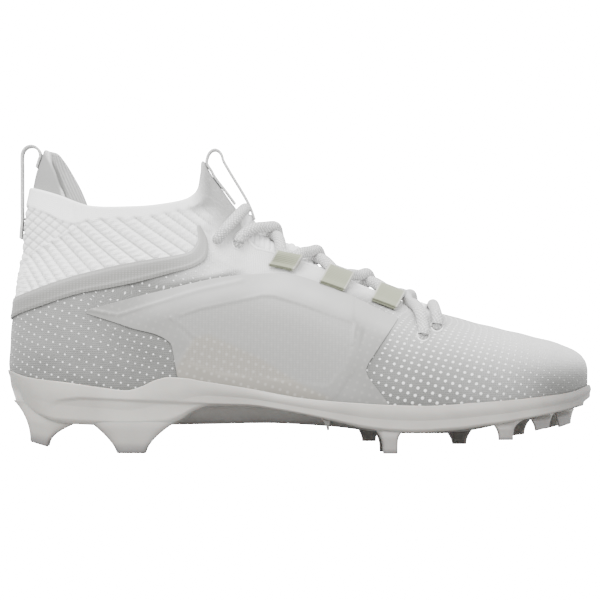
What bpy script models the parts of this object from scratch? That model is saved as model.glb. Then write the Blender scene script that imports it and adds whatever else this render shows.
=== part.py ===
"""Right-foot cleat with a knit bootie upper and a moulded plate with studs, standing on its studs.

Metres, +X to the toe, -Y to the outer side of the foot, +Z up. The origin is under the middle of the shoe
on the floor. Every form follows one last, which `Last` works out from the length, the two widths and the
heights below: a column's along is a share of LENGTH, and its high is a share of the height its table names.
"""

import math

import bmesh
import bpy
import numpy as np

LENGTH = 0.292
BALL_WIDTH = 0.101
HEEL_WIDTH = 0.068
TAB_HEIGHT = 0.1455
COLLAR_HEIGHT = 0.1215
RIM_HEIGHT = 0.0375

UPPER_WALL = 0.0020
RIM_WALL = 0.0010
SKIRT_STEP = 0.0009
CLEARANCE = 0.0003
OVERLAY_CLEARANCE = 0.0008
INSOLE_THICKNESS = 0.0032
TONGUE_THICKNESS = 0.0022
TONGUE_BULGE = 0.0029
LINING_THICKNESS = 0.0018
FILM_THICKNESS = 0.0005
STRAP_STEP = 0.0003
BAND_THICKNESS = 0.0006
BAND_WIDTH = 0.0070
LACE_DIAMETER = 0.0052
LACE_LIFT = 0.0008
LACE_STANDOFF = 0.0014
EYELET_DIAMETER = 0.0056
LOOP_WIDTH = 0.0125
LOOP_LENGTH = 0.0150
LOOP_RAKE = 0.10
LOOP_SETBACK = 0.0030
LOOP_THICKNESS = 0.0022
PULL_THICKNESS = 0.0014
TONGUE_PULL_WIDTH = 0.0095
HEEL_PULL_WIDTH = 0.0120
TONGUE_PULL_REACH = 0.0085
TONGUE_PULL_BOW = 0.0042
HEEL_PULL_DROP = 0.0040
STUD_WALL_INSET = 0.0018
RIM_INSET = 0.0050
EDGE_INSET = 0.0150
UNDERSIDE_INSET = 0.0200
TONGUE_TUCK = 0.0050
TONGUE_BACK_TUCK = 0.0100
TONGUE_FRONT_TUCK = 0.0120
TONGUE_EDGE_GAP = 0.0020
TONGUE_END_FADE = 0.0040
TONGUE_REST = 0.0011
GROOVE_HALF = 0.0046
GROOVE_OUT = 0.0100
PULL_SEAT_GAP = 0.0004
TONGUE_PULL_RISE = 0.0065
TONGUE_PULL_LIFT = 0.0030
HEEL_PULL_RISE = 0.0050
HEEL_PULL_TAIL = 0.0060

HEEL_ROUND = 0.042
TOE_ROUND = 0.070
ARCH_POWER = 2.15
HEEL_POWER = 2.2
TUCK = 0.07

THROAT_BACK = -0.021
THROAT_FRONT = 0.0585
THROAT_BACK_HALF = 0.0165
THROAT_FRONT_HALF = 0.0095
THROAT_END_ROUND = 0.6

SIDE_COLUMNS = 26
UPPER_RINGS = 16
FILM_COLUMNS = 17
FILM_ROWS = 7
EYELET_SIDES = 10
LACE_SIDES = 6
OUTER, INNER = -1.0, 1.0


def table(columns, *rows):
    """Rows of numbers as a dictionary of named columns."""
    return dict(zip(columns.split(), np.array(rows, float).T))


# Shares of TAB_HEIGHT and LENGTH: toe, vamp, instep and front of the tab, seen from the side.
RIDGE = table(
    "high along",
    (0.172, 0.488), (0.206, 0.494), (0.245, 0.497), (0.284, 0.497), (0.308, 0.495), (0.332, 0.488),
    (0.353, 0.475), (0.377, 0.448), (0.405, 0.393), (0.432, 0.338), (0.459, 0.283), (0.475, 0.254),
    (0.494, 0.212), (0.547, 0.144), (0.612, 0.068), (0.680, 0.000), (0.736, -0.050), (0.782, -0.082),
    (0.831, -0.105), (0.892, -0.128), (0.948, -0.149), (1.000, -0.162),
)
# Shares of COLLAR_HEIGHT and LENGTH: the back of the heel, carried on above the collar for the lining.
BACK = table(
    "high along",
    (0.200, -0.483), (0.250, -0.491), (0.300, -0.496), (0.358, -0.498), (0.458, -0.496), (0.533, -0.494),
    (0.633, -0.489), (0.733, -0.484), (0.783, -0.479), (0.833, -0.476), (0.917, -0.474), (1.000, -0.470),
    (1.085, -0.464), (1.150, -0.459), (1.233, -0.449), (1.262, -0.446),
)
# Shares of LENGTH and COLLAR_HEIGHT: the collar's top edge, up to the foot of the tab.
COLLAR = table(
    "along high",
    (-0.464, 1.085), (-0.442, 1.070), (-0.405, 1.042), (-0.382, 1.020), (-0.358, 1.003), (-0.329, 0.998),
    (-0.269, 1.002), (-0.223, 1.015), (-0.193, 1.032), (-0.176, 1.058),
)
# Share of LENGTH, and of the way up from the collar's front end to TAB_HEIGHT: the tab's steep rear edge.
TAB = table("along rise", (-0.168, 0.223), (-0.165, 0.515), (-0.163, 0.779), (-0.162, 1.000))
# Shares of LENGTH and RIM_HEIGHT: top of the plate's rim, its floor, its lower edge and its underside.
RIM = table(
    "along high",
    (-0.500, 1.107), (-0.459, 0.995), (-0.386, 0.912), (-0.335, 0.853), (-0.291, 0.816), (-0.267, 0.864),
    (-0.243, 0.949), (-0.221, 0.987), (-0.192, 0.976), (-0.167, 0.941), (-0.095, 0.853), (0.000, 0.720),
    (0.054, 0.672), (0.168, 0.619), (0.212, 0.613), (0.240, 0.619), (0.286, 0.648), (0.336, 0.675),
    (0.369, 0.699), (0.414, 0.739), (0.457, 0.789), (0.500, 0.907),
)
FLOOR = table(
    "along high",
    (-0.500, 0.700), (-0.377, 0.668), (-0.274, 0.675), (-0.205, 0.692), (-0.137, 0.692), (-0.068, 0.670),
    (0.000, 0.613), (0.068, 0.515), (0.171, 0.415), (0.274, 0.415), (0.377, 0.480), (0.445, 0.555),
    (0.500, 0.653),
)
EDGE = table(
    "along high",
    (-0.500, 0.773), (-0.479, 0.600), (-0.438, 0.453), (-0.404, 0.395), (-0.363, 0.381), (-0.291, 0.360),
    (-0.233, 0.363), (-0.205, 0.432), (-0.178, 0.560), (-0.151, 0.624), (-0.096, 0.624), (-0.034, 0.568),
    (0.017, 0.493), (0.068, 0.405), (0.110, 0.331), (0.154, 0.288), (0.199, 0.275), (0.236, 0.293),
    (0.271, 0.315), (0.308, 0.357), (0.342, 0.392), (0.377, 0.443), (0.428, 0.520), (0.471, 0.608),
    (0.500, 0.747),
)
UNDERSIDE = table(
    "along high",
    (-0.500, 0.587), (-0.428, 0.405), (-0.342, 0.379), (-0.240, 0.373), (-0.171, 0.400), (-0.068, 0.395),
    (0.034, 0.355), (0.103, 0.301), (0.171, 0.261), (0.240, 0.261), (0.308, 0.299), (0.377, 0.387),
    (0.445, 0.485), (0.500, 0.600),
)
# Share of LENGTH, and how far the sole's centre lies to the inner side, in shares of BALL_WIDTH.
CENTRE = table(
    "along inward",
    (-0.500, 0.000), (-0.291, -0.005), (-0.205, -0.020), (-0.103, -0.036), (0.000, -0.040), (0.103, -0.020),
    (0.171, -0.005), (0.240, 0.003), (0.308, 0.015), (0.377, 0.035), (0.428, 0.054), (0.473, 0.079),
    (0.500, 0.099),
)
# Share of LENGTH, and how far the width has gone from HEEL_WIDTH to BALL_WIDTH.
SPREAD = table(
    "along share",
    (-0.500, 0.000), (-0.205, 0.000), (-0.103, 0.060), (0.000, 0.360), (0.103, 0.800), (0.171, 0.970),
    (0.240, 1.000), (0.308, 0.950), (0.377, 0.860), (0.428, 0.760), (0.500, 0.620),
)
# Share of COLLAR_HEIGHT, and the ankle's width as a share of the heel's.
ANKLE = table(
    "high share",
    (0.200, 1.000), (0.417, 1.000), (0.517, 0.985), (0.625, 0.945), (0.733, 0.885), (0.833, 0.840),
    (0.958, 0.820), (1.250, 0.800),
)
# Shares of LENGTH and TAB_HEIGHT: the side film's edges, from its rear tip, and the band under the collar.
FILM_TOP = table(
    "along high",
    (-0.360, 0.486), (-0.242, 0.547), (-0.098, 0.604), (-0.036, 0.609), (0.074, 0.543), (0.166, 0.455),
)
FILM_LOW = table("along high", (-0.360, 0.474), (-0.285, 0.418), (-0.208, 0.345), (-0.182, 0.262))
BAND = table(
    "along high",
    (-0.487, 0.464), (-0.437, 0.522), (-0.404, 0.546), (-0.302, 0.583), (-0.201, 0.620), (-0.165, 0.643),
)
# Shares of COLLAR_HEIGHT: how far the heel lining stands, by distance forward of its back in shares of LENGTH.
LINING_OUTER = table(
    "forward high",
    (0.000, 1.255), (0.019, 1.205), (0.031, 1.150), (0.047, 1.080), (0.055, 1.052), (0.068, 0.983),
)
LINING_INNER = table(
    "forward high",
    (0.000, 1.255), (0.031, 1.225), (0.055, 1.145), (0.080, 1.050), (0.096, 0.992),
)
LINING_FOOT = 0.80
# Share of LENGTH where the film's front edge meets the plate, the bow of that edge, and the shares along
# the film where the strap layer starts and ends.
FILM_LOW_FRONT = 0.150
FILM_FRONT_BOW = 0.022
STRAP = table("low high", (0.34, 0.40), (0.84, 0.90))
# The plate's side under its rim: share of the way down to the edge, and how far out. Then its lower edge.
SIDE_STEPS = table("down out", (0.0, 0.0), (0.12, 0.0003), (0.52, 0.0005), (0.58, 0.0005 - SKIRT_STEP))
LOW_STEPS = table("up inset", (0.12, 0.0014), (0.0, RIM_INSET))
# Studs: side, share of LENGTH to the tip's middle, tip length, tip height and slope, width, flares behind
# and ahead, and how far the stud's outer face lies inside the plate's edge. Lengths are shares of LENGTH.
STUD_NAMES = (
    "outer_rear", "outer_heel", "outer_ball", "outer_toe", "outer_tip", "outer_nose", "inner_rear",
    "inner_heel", "inner_ball", "inner_mid", "inner_toe", "inner_tip", "middle_ball", "arch_fin",
)
STUDS = table(
    "side along tip high slope width behind ahead inset",
    (OUTER, -0.4420, 0.0320, 0.0150, -0.29, 0.034, 0.014, 0.052, 0.012),
    (OUTER, -0.2841, 0.0503, 0.0000, 0.00, 0.034, 0.044, 0.046, 0.000),
    (OUTER, 0.1522, 0.0250, 0.0000, 0.00, 0.036, 0.036, 0.040, 0.000),
    (OUTER, 0.3473, 0.0253, 0.0226, 0.00, 0.032, 0.020, 0.014, 0.000),
    (OUTER, 0.4113, 0.0253, 0.0406, 0.23, 0.028, 0.016, 0.010, 0.012),
    (OUTER, 0.4534, 0.0233, 0.0467, 0.31, 0.026, 0.012, 0.008, 0.030),
    (INNER, -0.4380, 0.0320, 0.0150, -0.29, 0.034, 0.014, 0.052, 0.012),
    (INNER, -0.2910, 0.0503, 0.0000, 0.00, 0.034, 0.044, 0.046, 0.000),
    (INNER, 0.1522, 0.0250, 0.0000, 0.00, 0.036, 0.036, 0.040, 0.010),
    (INNER, 0.2800, 0.0250, 0.0130, 0.00, 0.036, 0.036, 0.030, 0.000),
    (INNER, 0.3800, 0.0253, 0.0290, 0.12, 0.034, 0.020, 0.018, 0.004),
    (INNER, 0.4380, 0.0233, 0.0430, 0.28, 0.028, 0.014, 0.010, 0.012),
    (INNER, 0.1200, 0.0240, 0.0190, 0.00, 0.030, 0.024, 0.024, 0.085),
    (OUTER, 0.0480, 0.0040, 0.0390, 0.00, 0.016, 0.026, 0.012, 0.028),
)
STUD_LEVELS = table("rise flare", (0.0, 0.0), (0.30, 0.10), (0.62, 0.42), (1.0, 1.0))
STUD_ROOT = 0.0020
STUD_CORNER_POINTS = 3
STUD_SPREAD = 0.30
STUD_CORNER = 0.22
STUD_DRAFT = 0.09

# Lace holes on each side, as shares of LENGTH along and of TAB_HEIGHT up, from the ankle to the toe.
LACE_HOLES = table("along high", (-0.139, 0.728), (-0.104, 0.714), (0.208, 0.400), (0.232, 0.432))
# Shares of LENGTH to the middle of each tape loop, to the ridge where each bar passes over it, to the first
# crossing, and to the foot of the tongue's pull loop.
LOOPS = table("along", (-0.022,), (0.064,), (0.151,))
BARS = table("along", (-0.102,), (0.226,))
FIRST_CROSSING = -0.053
TONGUE_PULL_FOOT = -0.077
# Shares of TAB_HEIGHT and of COLLAR_HEIGHT: where the two pull loops lie on the upper.
TONGUE_PULL_SEAT = (0.868, 0.990)
HEEL_PULL_SEAT = (0.88, 0.95)


def smooth(rows, key, value, at):
    """A smooth curve with no overshoot through a table's rows, read at any places."""
    xs, ys = rows[key], rows[value]
    steps = np.diff(xs)
    slopes = np.diff(ys) / steps
    inner = np.zeros_like(xs)
    same_way = slopes[:-1] * slopes[1:] > 0
    weight_a = 2 * steps[1:] + steps[:-1]
    weight_b = steps[1:] + 2 * steps[:-1]
    safe_a = np.where(same_way, slopes[:-1], 1.0)
    safe_b = np.where(same_way, slopes[1:], 1.0)
    mean = (weight_a + weight_b) / (weight_a / safe_a + weight_b / safe_b)
    inner[1:-1] = np.where(same_way, mean, 0.0)
    inner[0], inner[-1] = slopes[0], slopes[-1]
    at = np.clip(np.asarray(at, float), xs[0], xs[-1])
    cell = np.clip(np.searchsorted(xs, at, side="right") - 1, 0, len(steps) - 1)
    t = (at - xs[cell]) / steps[cell]
    ease = t * t * (3 - 2 * t)
    bend = inner[cell] * t * (1 - t) ** 2 - inner[cell + 1] * t * t * (1 - t)
    return ys[cell] * (1 - ease) + ys[cell + 1] * ease + bend * steps[cell]


def blend(low, high, at):
    """0 below low, 1 above high and a soft step between."""
    t = np.clip((at - low) / (high - low), 0, 1)
    return t * t * (3 - 2 * t)


class Last:
    """The form that every piece follows: its half width at any place along the shoe and height."""

    def __init__(self):
        self.cut = RIDGE["high"][3] * TAB_HEIGHT
        highs = np.linspace(self.cut, TAB_HEIGHT, 160)
        self.ridge_x = self.front(highs)[::-1]
        self.ridge_z = highs[::-1]
        self.top_slope = (self.ridge_z[0] - self.ridge_z[1]) / (self.ridge_x[1] - self.ridge_x[0])

    def front(self, z):
        return smooth(RIDGE, "high", "along", z / TAB_HEIGHT) * LENGTH

    def back(self, z):
        return smooth(BACK, "high", "along", z / COLLAR_HEIGHT) * LENGTH

    def ridge(self, x):
        """Height of the last's top line, carried straight on behind the tab."""
        on_line = np.interp(x, self.ridge_x, self.ridge_z)
        return on_line + np.maximum(self.ridge_x[0] - x, 0) * self.top_slope

    def rim(self, x):
        return smooth(RIM, "along", "high", x / LENGTH) * RIM_HEIGHT

    def floor(self, x):
        return smooth(FLOOR, "along", "high", x / LENGTH) * RIM_HEIGHT

    def centre(self, x):
        return smooth(CENTRE, "along", "inward", x / LENGTH) * BALL_WIDTH

    def half_width(self, x, z):
        """Half width: the plan's, rounded at heel and toe, arched over the foot, narrowed at the ankle."""
        spread = smooth(SPREAD, "along", "share", x / LENGTH)
        plan = (HEEL_WIDTH + (BALL_WIDTH - HEEL_WIDTH) * spread) / 2
        heel = np.clip((x - self.back(z)) / HEEL_ROUND, 0, 1)
        heel_round = (1 - (1 - heel) ** HEEL_POWER) ** (1 / HEEL_POWER)
        toe = np.clip((self.front(np.minimum(z, self.cut)) - x) / TOE_ROUND, 0, 1)
        toe_round = np.sqrt(1 - (1 - toe) ** 2)
        widest = self.rim(x) + RIM_HEIGHT / 8
        rise = np.clip((z - widest) / np.maximum(self.ridge(x) - widest, 1e-4), 0, 1)
        arch = (1 - rise**ARCH_POWER) ** (1 / ARCH_POWER)
        sink = np.clip((widest - z) / (widest - self.floor(x)), 0, 1.5)
        behind = 1 - blend(-0.12 * LENGTH, 0.06 * LENGTH, x)
        ankle = 1 - (1 - smooth(ANKLE, "high", "share", z / COLLAR_HEIGHT)) * behind
        return plan * heel_round * toe_round * arch * ankle * (1 - TUCK * sink**2)

    def top(self, x, y):
        """Height of the last over a point of the plan, by halving."""
        low = self.rim(x)
        high = self.ridge(x)
        across = np.abs(y - self.centre(x))
        for _ in range(40):
            middle = (low + high) / 2
            inside = self.half_width(x, middle) > across
            low = np.where(inside, middle, low)
            high = np.where(inside, high, middle)
        return (low + high) / 2

    def side_point(self, side, x, z, out=0.0):
        """Points of the outer surface at places (x, z) of the side view, moved outwards by out."""
        step = 0.0004
        here = self._raw(side, x, z)
        along = self._raw(side, x + step, z) - self._raw(side, x - step, z)
        up = self._raw(side, x, z + step) - self._raw(side, x, z - step)
        normal = np.cross(along, up) * side
        normal = -normal / np.linalg.norm(normal, axis=-1, keepdims=True)
        return here + normal * np.asarray(out)[..., None]

    def _raw(self, side, x, z):
        return np.stack([x, self.centre(x) + side * self.half_width(x, z), z], -1)


LAST = Last()


def side_shares():
    """Shares from heel to toe, close together at both ends, where the rings turn round."""
    return (1 - np.cos(np.linspace(0, math.pi, SIDE_COLUMNS))) / 2


def ring(back_z, front_z, height):
    """A closed ring round the last, outer side first, whose height at share s is height(s, x)."""
    shares = side_shares()
    start = LAST.back(back_z)
    end = LAST.front(front_z)
    first = start + (end - start) * shares
    z = height(shares, first)
    x = LAST.back(z) + (LAST.front(z) - LAST.back(z)) * shares if front_z <= LAST.cut else first
    half = LAST.half_width(x, z)
    half[0] = half[-1] = 0
    outer = np.stack([x, LAST.centre(x) - half, z], 1)
    inner = np.stack([x, LAST.centre(x) + half, z], 1)
    return np.concatenate([outer, inner[-2:0:-1]])


def level_ring(height):
    """A ring low on the last, where its height depends on the place along the shoe alone."""
    back_z = float(height(np.array([-LENGTH / 2]))[0])
    front_z = float(height(np.array([LENGTH / 2]))[0])
    return ring(back_z, front_z, lambda shares, x: height(x))


def widened(points, distance):
    """A ring moved outwards in plan."""
    tangent = np.roll(points, -1, 0) - np.roll(points, 1, 0)
    normal = np.stack([tangent[:, 1], -tangent[:, 0], np.zeros(len(points))], 1)
    normal /= np.linalg.norm(normal, axis=1, keepdims=True)
    return points + normal * distance


def raised(points, height):
    """A ring with its heights set from its places along the shoe."""
    moved = points.copy()
    moved[:, 2] = height(points[:, 0])
    return moved


def new_object(name, points, faces, material):
    """One object from points and faces, with its normals out."""
    mesh = bpy.data.meshes.new(name)
    mesh.from_pydata([tuple(map(float, point)) for point in points], [], [tuple(face) for face in faces])
    work = bmesh.new()
    work.from_mesh(mesh)
    bmesh.ops.recalc_face_normals(work, faces=work.faces[:])
    work.to_mesh(mesh)
    work.free()
    mesh.shade_smooth()
    mesh.set_sharp_from_angle(angle=math.radians(40))
    piece = bpy.data.objects.new(name, mesh)
    bpy.context.scene.collection.objects.link(piece)
    if material:
        mesh.materials.append(material)
    return piece


def ring_faces(count, first, second):
    """Quads between two rings of count points that start at first and second."""
    return [(first + i, first + (i + 1) % count, second + (i + 1) % count, second + i) for i in range(count)]


def ladder_faces(count, first):
    """Faces that close a ring with rungs from its outer to its inner side."""
    half = count // 2
    faces = [(first, first + 1, first + count - 1), (first + half, first + half + 1, first + half - 1)]
    faces += [(first + i, first + i + 1, first + count - i - 1, first + count - i) for i in range(1, half - 1)]
    return faces


def stack(name, rings, material, closed=False):
    """A solid through a list of rings: closed on itself like a wall, or with a ladder at each end."""
    count = len(rings[0])
    faces = []
    for i in range(len(rings) - 1):
        faces += ring_faces(count, i * count, (i + 1) * count)
    if closed:
        faces += ring_faces(count, (len(rings) - 1) * count, 0)
    else:
        faces += ladder_faces(count, 0) + ladder_faces(count, (len(rings) - 1) * count)
    return new_object(name, np.concatenate(rings), faces, material)


def slab(name, front, back, material):
    """A solid sheet between two grids of points of the same size."""
    rows, columns = front.shape[:2]
    size = rows * columns
    faces = []
    for i in range(rows - 1):
        for j in range(columns - 1):
            a = i * columns + j
            quad = (a, a + 1, a + columns + 1, a + columns)
            faces.append(quad)
            faces.append(tuple(size + k for k in reversed(quad)))
    edge = [j for j in range(columns)]
    edge += [i * columns + columns - 1 for i in range(1, rows)]
    edge += [(rows - 1) * columns + j for j in range(columns - 2, -1, -1)]
    edge += [i * columns for i in range(rows - 2, 0, -1)]
    for a, b in zip(edge, edge[1:] + edge[:1]):
        faces.append((b, a, size + a, size + b))
    return new_object(name, np.concatenate([front.reshape(-1, 3), back.reshape(-1, 3)]), faces, material)


def tube(name, path, radius, material, sides=LACE_SIDES):
    """A round cord along a path, with flat ends."""
    path = np.asarray(path, float)
    tangent = np.gradient(path, axis=0)
    tangent /= np.linalg.norm(tangent, axis=1, keepdims=True)
    across = np.cross(tangent, (0.0, 0.0, 1.0))
    across /= np.linalg.norm(across, axis=1, keepdims=True)
    up = np.cross(across, tangent)
    angles = np.arange(sides) * 2 * math.pi / sides
    points = np.concatenate([
        centre + radius * (np.cos(angles)[:, None] * a + np.sin(angles)[:, None] * b)
        for centre, a, b in zip(path, across, up)
    ])
    faces = []
    for i in range(len(path) - 1):
        faces += ring_faces(sides, i * sides, (i + 1) * sides)
    faces.append(tuple(range(sides)))
    faces.append(tuple((len(path) - 1) * sides + i for i in range(sides)))
    return new_object(name, points, faces, material)


def boolean(piece, other, operation):
    """Joins or cuts a piece with a hidden helper."""
    other.hide_render = True
    other.display_type = "WIRE"
    modifier = piece.modifiers.new(other.name, "BOOLEAN")
    modifier.operation = operation
    modifier.object = other
    modifier.solver = "EXACT"


def finish(name, colour, roughness):
    """A matt or glossy material with no metal in it."""
    material = bpy.data.materials.new(name)
    material.use_nodes = True
    shader = material.node_tree.nodes["Principled BSDF"]
    shader.inputs["Base Color"].default_value = (*colour, 1.0)
    shader.inputs["Roughness"].default_value = roughness
    shader.inputs["Metallic"].default_value = 0.0
    return material


def wall_floor(x):
    return LAST.floor(x) + CLEARANCE


def wall_middle(x):
    return (LAST.floor(x) + LAST.rim(x)) / 2


def upper_rings():
    """Rings of the upper's outer face, from under the foot to the collar and the tip of the tab."""
    shares = side_shares()
    rings = [level_ring(wall_floor), level_ring(wall_middle), level_ring(LAST.rim)]
    back_low = float(LAST.rim(-LENGTH / 2))
    front_low = float(LAST.rim(LENGTH / 2))
    ridge_z = np.linspace(front_low, TAB_HEIGHT, 200)
    ridge_x = LAST.front(ridge_z)
    run = np.concatenate([[0], np.cumsum(np.hypot(np.diff(ridge_x), np.diff(ridge_z)))])
    back_high = float(COLLAR["high"][0]) * COLLAR_HEIGHT
    low_x = LAST.back(back_low) + (LAST.front(front_low) - LAST.back(back_low)) * shares
    low_bow = LAST.rim(low_x) - (back_low + (front_low - back_low) * shares)
    high_x = LAST.back(back_high) + (LAST.front(TAB_HEIGHT) - LAST.back(back_high)) * shares
    high_bow = top_edge(high_x) - (back_high + (TAB_HEIGHT - back_high) * shares)
    for share in np.linspace(0, 1, UPPER_RINGS)[1:]:
        back_z = back_low + (back_high - back_low) * share
        front_z = float(np.interp(share * run[-1], run, ridge_z))
        bow = low_bow * (1 - share) ** 1.5 + high_bow * share**3
        rings.append(ring(back_z, front_z, lambda s, x: back_z + (front_z - back_z) * s + bow))
    return rings


def top_edge(x):
    """Height of the collar's edge, and of the tab's steep rear edge in front of it."""
    collar = COLLAR["high"] * COLLAR_HEIGHT
    tab = collar[-1] + TAB["rise"] * (TAB_HEIGHT - collar[-1])
    rows = {
        "along": np.concatenate([COLLAR["along"], TAB["along"]]),
        "high": np.concatenate([collar, tab]),
    }
    return smooth(rows, "along", "high", x / LENGTH)


def inward(rings, distance):
    """The same rings moved into the shoe along the surface's own normals."""
    grid = np.array(rings)
    around = np.roll(grid, -1, 1) - np.roll(grid, 1, 1)
    up = np.gradient(grid, axis=0)
    normal = np.cross(around, up)
    normal /= np.linalg.norm(normal, axis=2, keepdims=True)
    return grid - normal * distance


def throat_outline(back, front, back_half, front_half):
    """Plan of the throat: two straight sides that spread towards the ankle, with round ends."""
    points = []
    for centre, radius, start in ((front, front_half, -90), (back, back_half, 90)):
        for step in range(7):
            angle = math.radians(start + 30 * step)
            points.append((centre + radius * THROAT_END_ROUND * math.cos(angle), radius * math.sin(angle)))
    return np.array(points)


def throat_half(x):
    """Half width of the throat at a place along it."""
    t = np.clip((x - THROAT_BACK) / (THROAT_FRONT - THROAT_BACK), 0, 1)
    return THROAT_BACK_HALF + (THROAT_FRONT_HALF - THROAT_BACK_HALF) * t


def make_upper(material):
    """The bootie: one hollow wall, open at the collar, at the throat, at the eyelets and underneath."""
    outer = upper_rings()
    inner = list(inward(outer, UPPER_WALL))
    piece = stack("upper", outer + inner[::-1], material, closed=True)
    plan = throat_outline(THROAT_BACK, THROAT_FRONT, THROAT_BACK_HALF, THROAT_FRONT_HALF)
    x, y = plan[:, 0], plan[:, 1] + LAST.centre(plan[:, 0])
    depth = TAB_HEIGHT / 6
    low = np.stack([x, y, LAST.ridge(x) - depth], 1)
    high = np.stack([x, y, LAST.ridge(x) + depth], 1)
    boolean(piece, prism("throat_cutter", low, high), "DIFFERENCE")
    for side in (OUTER, INNER):
        for number, centre in enumerate(lace_holes(), 1):
            boolean(piece, eyelet_cutter(f"eyelet_cutter_{side:+.0f}_{number}", side, centre), "DIFFERENCE")
    return piece


def prism(name, low, high):
    """A hidden cutter between two outlines of the same count."""
    count = len(low)
    faces = ring_faces(count, 0, count)
    faces.append(tuple(range(count)))
    faces.append(tuple(count + i for i in range(count)))
    return new_object(name, np.concatenate([low, high]), faces, None)


def eyelet_cutter(name, side, centre):
    """A short round cutter square to the surface."""
    x, z = centre
    base = LAST.side_point(side, np.array([x]), np.array([z]))[0]
    tip = LAST.side_point(side, np.array([x]), np.array([z]), np.array([1.0]))[0]
    normal = tip - base
    across = np.cross(normal, (0.0, 0.0, 1.0))
    across /= np.linalg.norm(across)
    up = np.cross(normal, across)
    angles = np.arange(EYELET_SIDES) * 2 * math.pi / EYELET_SIDES
    circle = EYELET_DIAMETER / 2 * (np.cos(angles)[:, None] * across + np.sin(angles)[:, None] * up)
    reach = 2.5 * UPPER_WALL
    return prism(name, base + circle - normal * reach, base + circle + normal * reach)


def lace_holes():
    """Places in the side view of the holes that the lace goes through."""
    return list(zip(LACE_HOLES["along"] * LENGTH, LACE_HOLES["high"] * TAB_HEIGHT))


def make_insole(material):
    """The sock liner, inside the foot of the upper."""
    inset = -(UPPER_WALL + 2 * CLEARANCE)
    low = widened(level_ring(wall_floor), inset)
    high = low.copy()
    high[:, 2] += INSOLE_THICKNESS
    return stack("insole", [low, high], material)


def plate_edge(x):
    return smooth(EDGE, "along", "high", x / LENGTH) * RIM_HEIGHT


def plate_underside(x):
    return smooth(UNDERSIDE, "along", "high", x / LENGTH) * RIM_HEIGHT


def make_outsole(material):
    """The plate: a tray whose rim laps the upper, a stepped side, a hollowed arch and the studs."""
    floor_ring = widened(level_ring(LAST.floor), CLEARANCE)
    middle_ring = widened(level_ring(wall_middle), CLEARANCE)
    rim_ring = level_ring(LAST.rim)
    rings = [floor_ring, middle_ring, widened(rim_ring, CLEARANCE)]
    wall = CLEARANCE + RIM_WALL
    for down, out in zip(SIDE_STEPS["down"], SIDE_STEPS["out"]):
        moved = widened(rim_ring, wall + out)
        rings.append(raised(moved, lambda x, d=down: LAST.rim(x) + (plate_edge(x) - LAST.rim(x)) * d))
    for up, inset in zip(LOW_STEPS["up"], LOW_STEPS["inset"]):
        moved = widened(rim_ring, -inset)
        rings.append(raised(moved, lambda x, u=up: plate_edge(x) + (LAST.rim(x) - plate_edge(x)) * u))
    rings.append(raised(widened(rim_ring, -EDGE_INSET), lambda x: (plate_edge(x) + plate_underside(x)) / 2))
    rings.append(raised(widened(rim_ring, -UNDERSIDE_INSET), plate_underside))
    piece = stack("outsole", rings, material)
    for name, *shares in zip(STUD_NAMES, *STUDS.values()):
        boolean(piece, make_stud(name, *shares), "UNION")
    return piece


def rounded_rectangle(length, width, corner):
    """Outline of a stud's section, centred, with round corners."""
    points = []
    for turn, (sx, sy) in enumerate(((1, 1), (-1, 1), (-1, -1), (1, -1))):
        for step in range(STUD_CORNER_POINTS):
            angle = math.radians(90 * (turn + step / (STUD_CORNER_POINTS - 1)))
            x = sx * (length / 2 - corner) + corner * math.cos(angle)
            y = sy * (width / 2 - corner) + corner * math.sin(angle)
            points.append((x, y))
    return np.array(points)


def make_stud(name, side, along, tip, high, slope, width, behind, ahead, inset):
    """A tapered stud that flares into the plate behind and ahead of it."""
    x = along * LENGTH
    centre = LAST.centre(np.array([x]))[0]
    edge_half = LAST.half_width(np.array([x]), LAST.rim(np.array([x])))[0]
    outer_face = edge_half - inset * LENGTH - STUD_WALL_INSET
    root = float(LAST.floor(np.array([x]))[0]) - STUD_ROOT
    low = high * LENGTH
    points, faces = [], []
    for rise, flare in zip(STUD_LEVELS["rise"], STUD_LEVELS["flare"]):
        length = (tip + (behind + ahead) * flare) * LENGTH
        shift = (ahead - behind) * flare * LENGTH / 2
        across = width * LENGTH * (1 + STUD_SPREAD * flare)
        tip_in = (1 - rise) * STUD_DRAFT * width * LENGTH
        section = rounded_rectangle(length, across, STUD_CORNER * min(length, across))
        y = centre + side * (outer_face - tip_in - across / 2)
        z = low + (root - low) * rise
        tilt = slope * (1 - rise)
        for dx, dy in section:
            points.append((x + shift + dx, y + dy, z + tilt * dx))
    count = 4 * STUD_CORNER_POINTS
    levels = len(STUD_LEVELS["rise"])
    for i in range(levels - 1):
        faces += ring_faces(count, i * count, (i + 1) * count)
    faces.append(tuple(range(count)))
    faces.append(tuple((levels - 1) * count + i for i in range(count)))
    return new_object("stud_" + name, points, faces, None)


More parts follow.
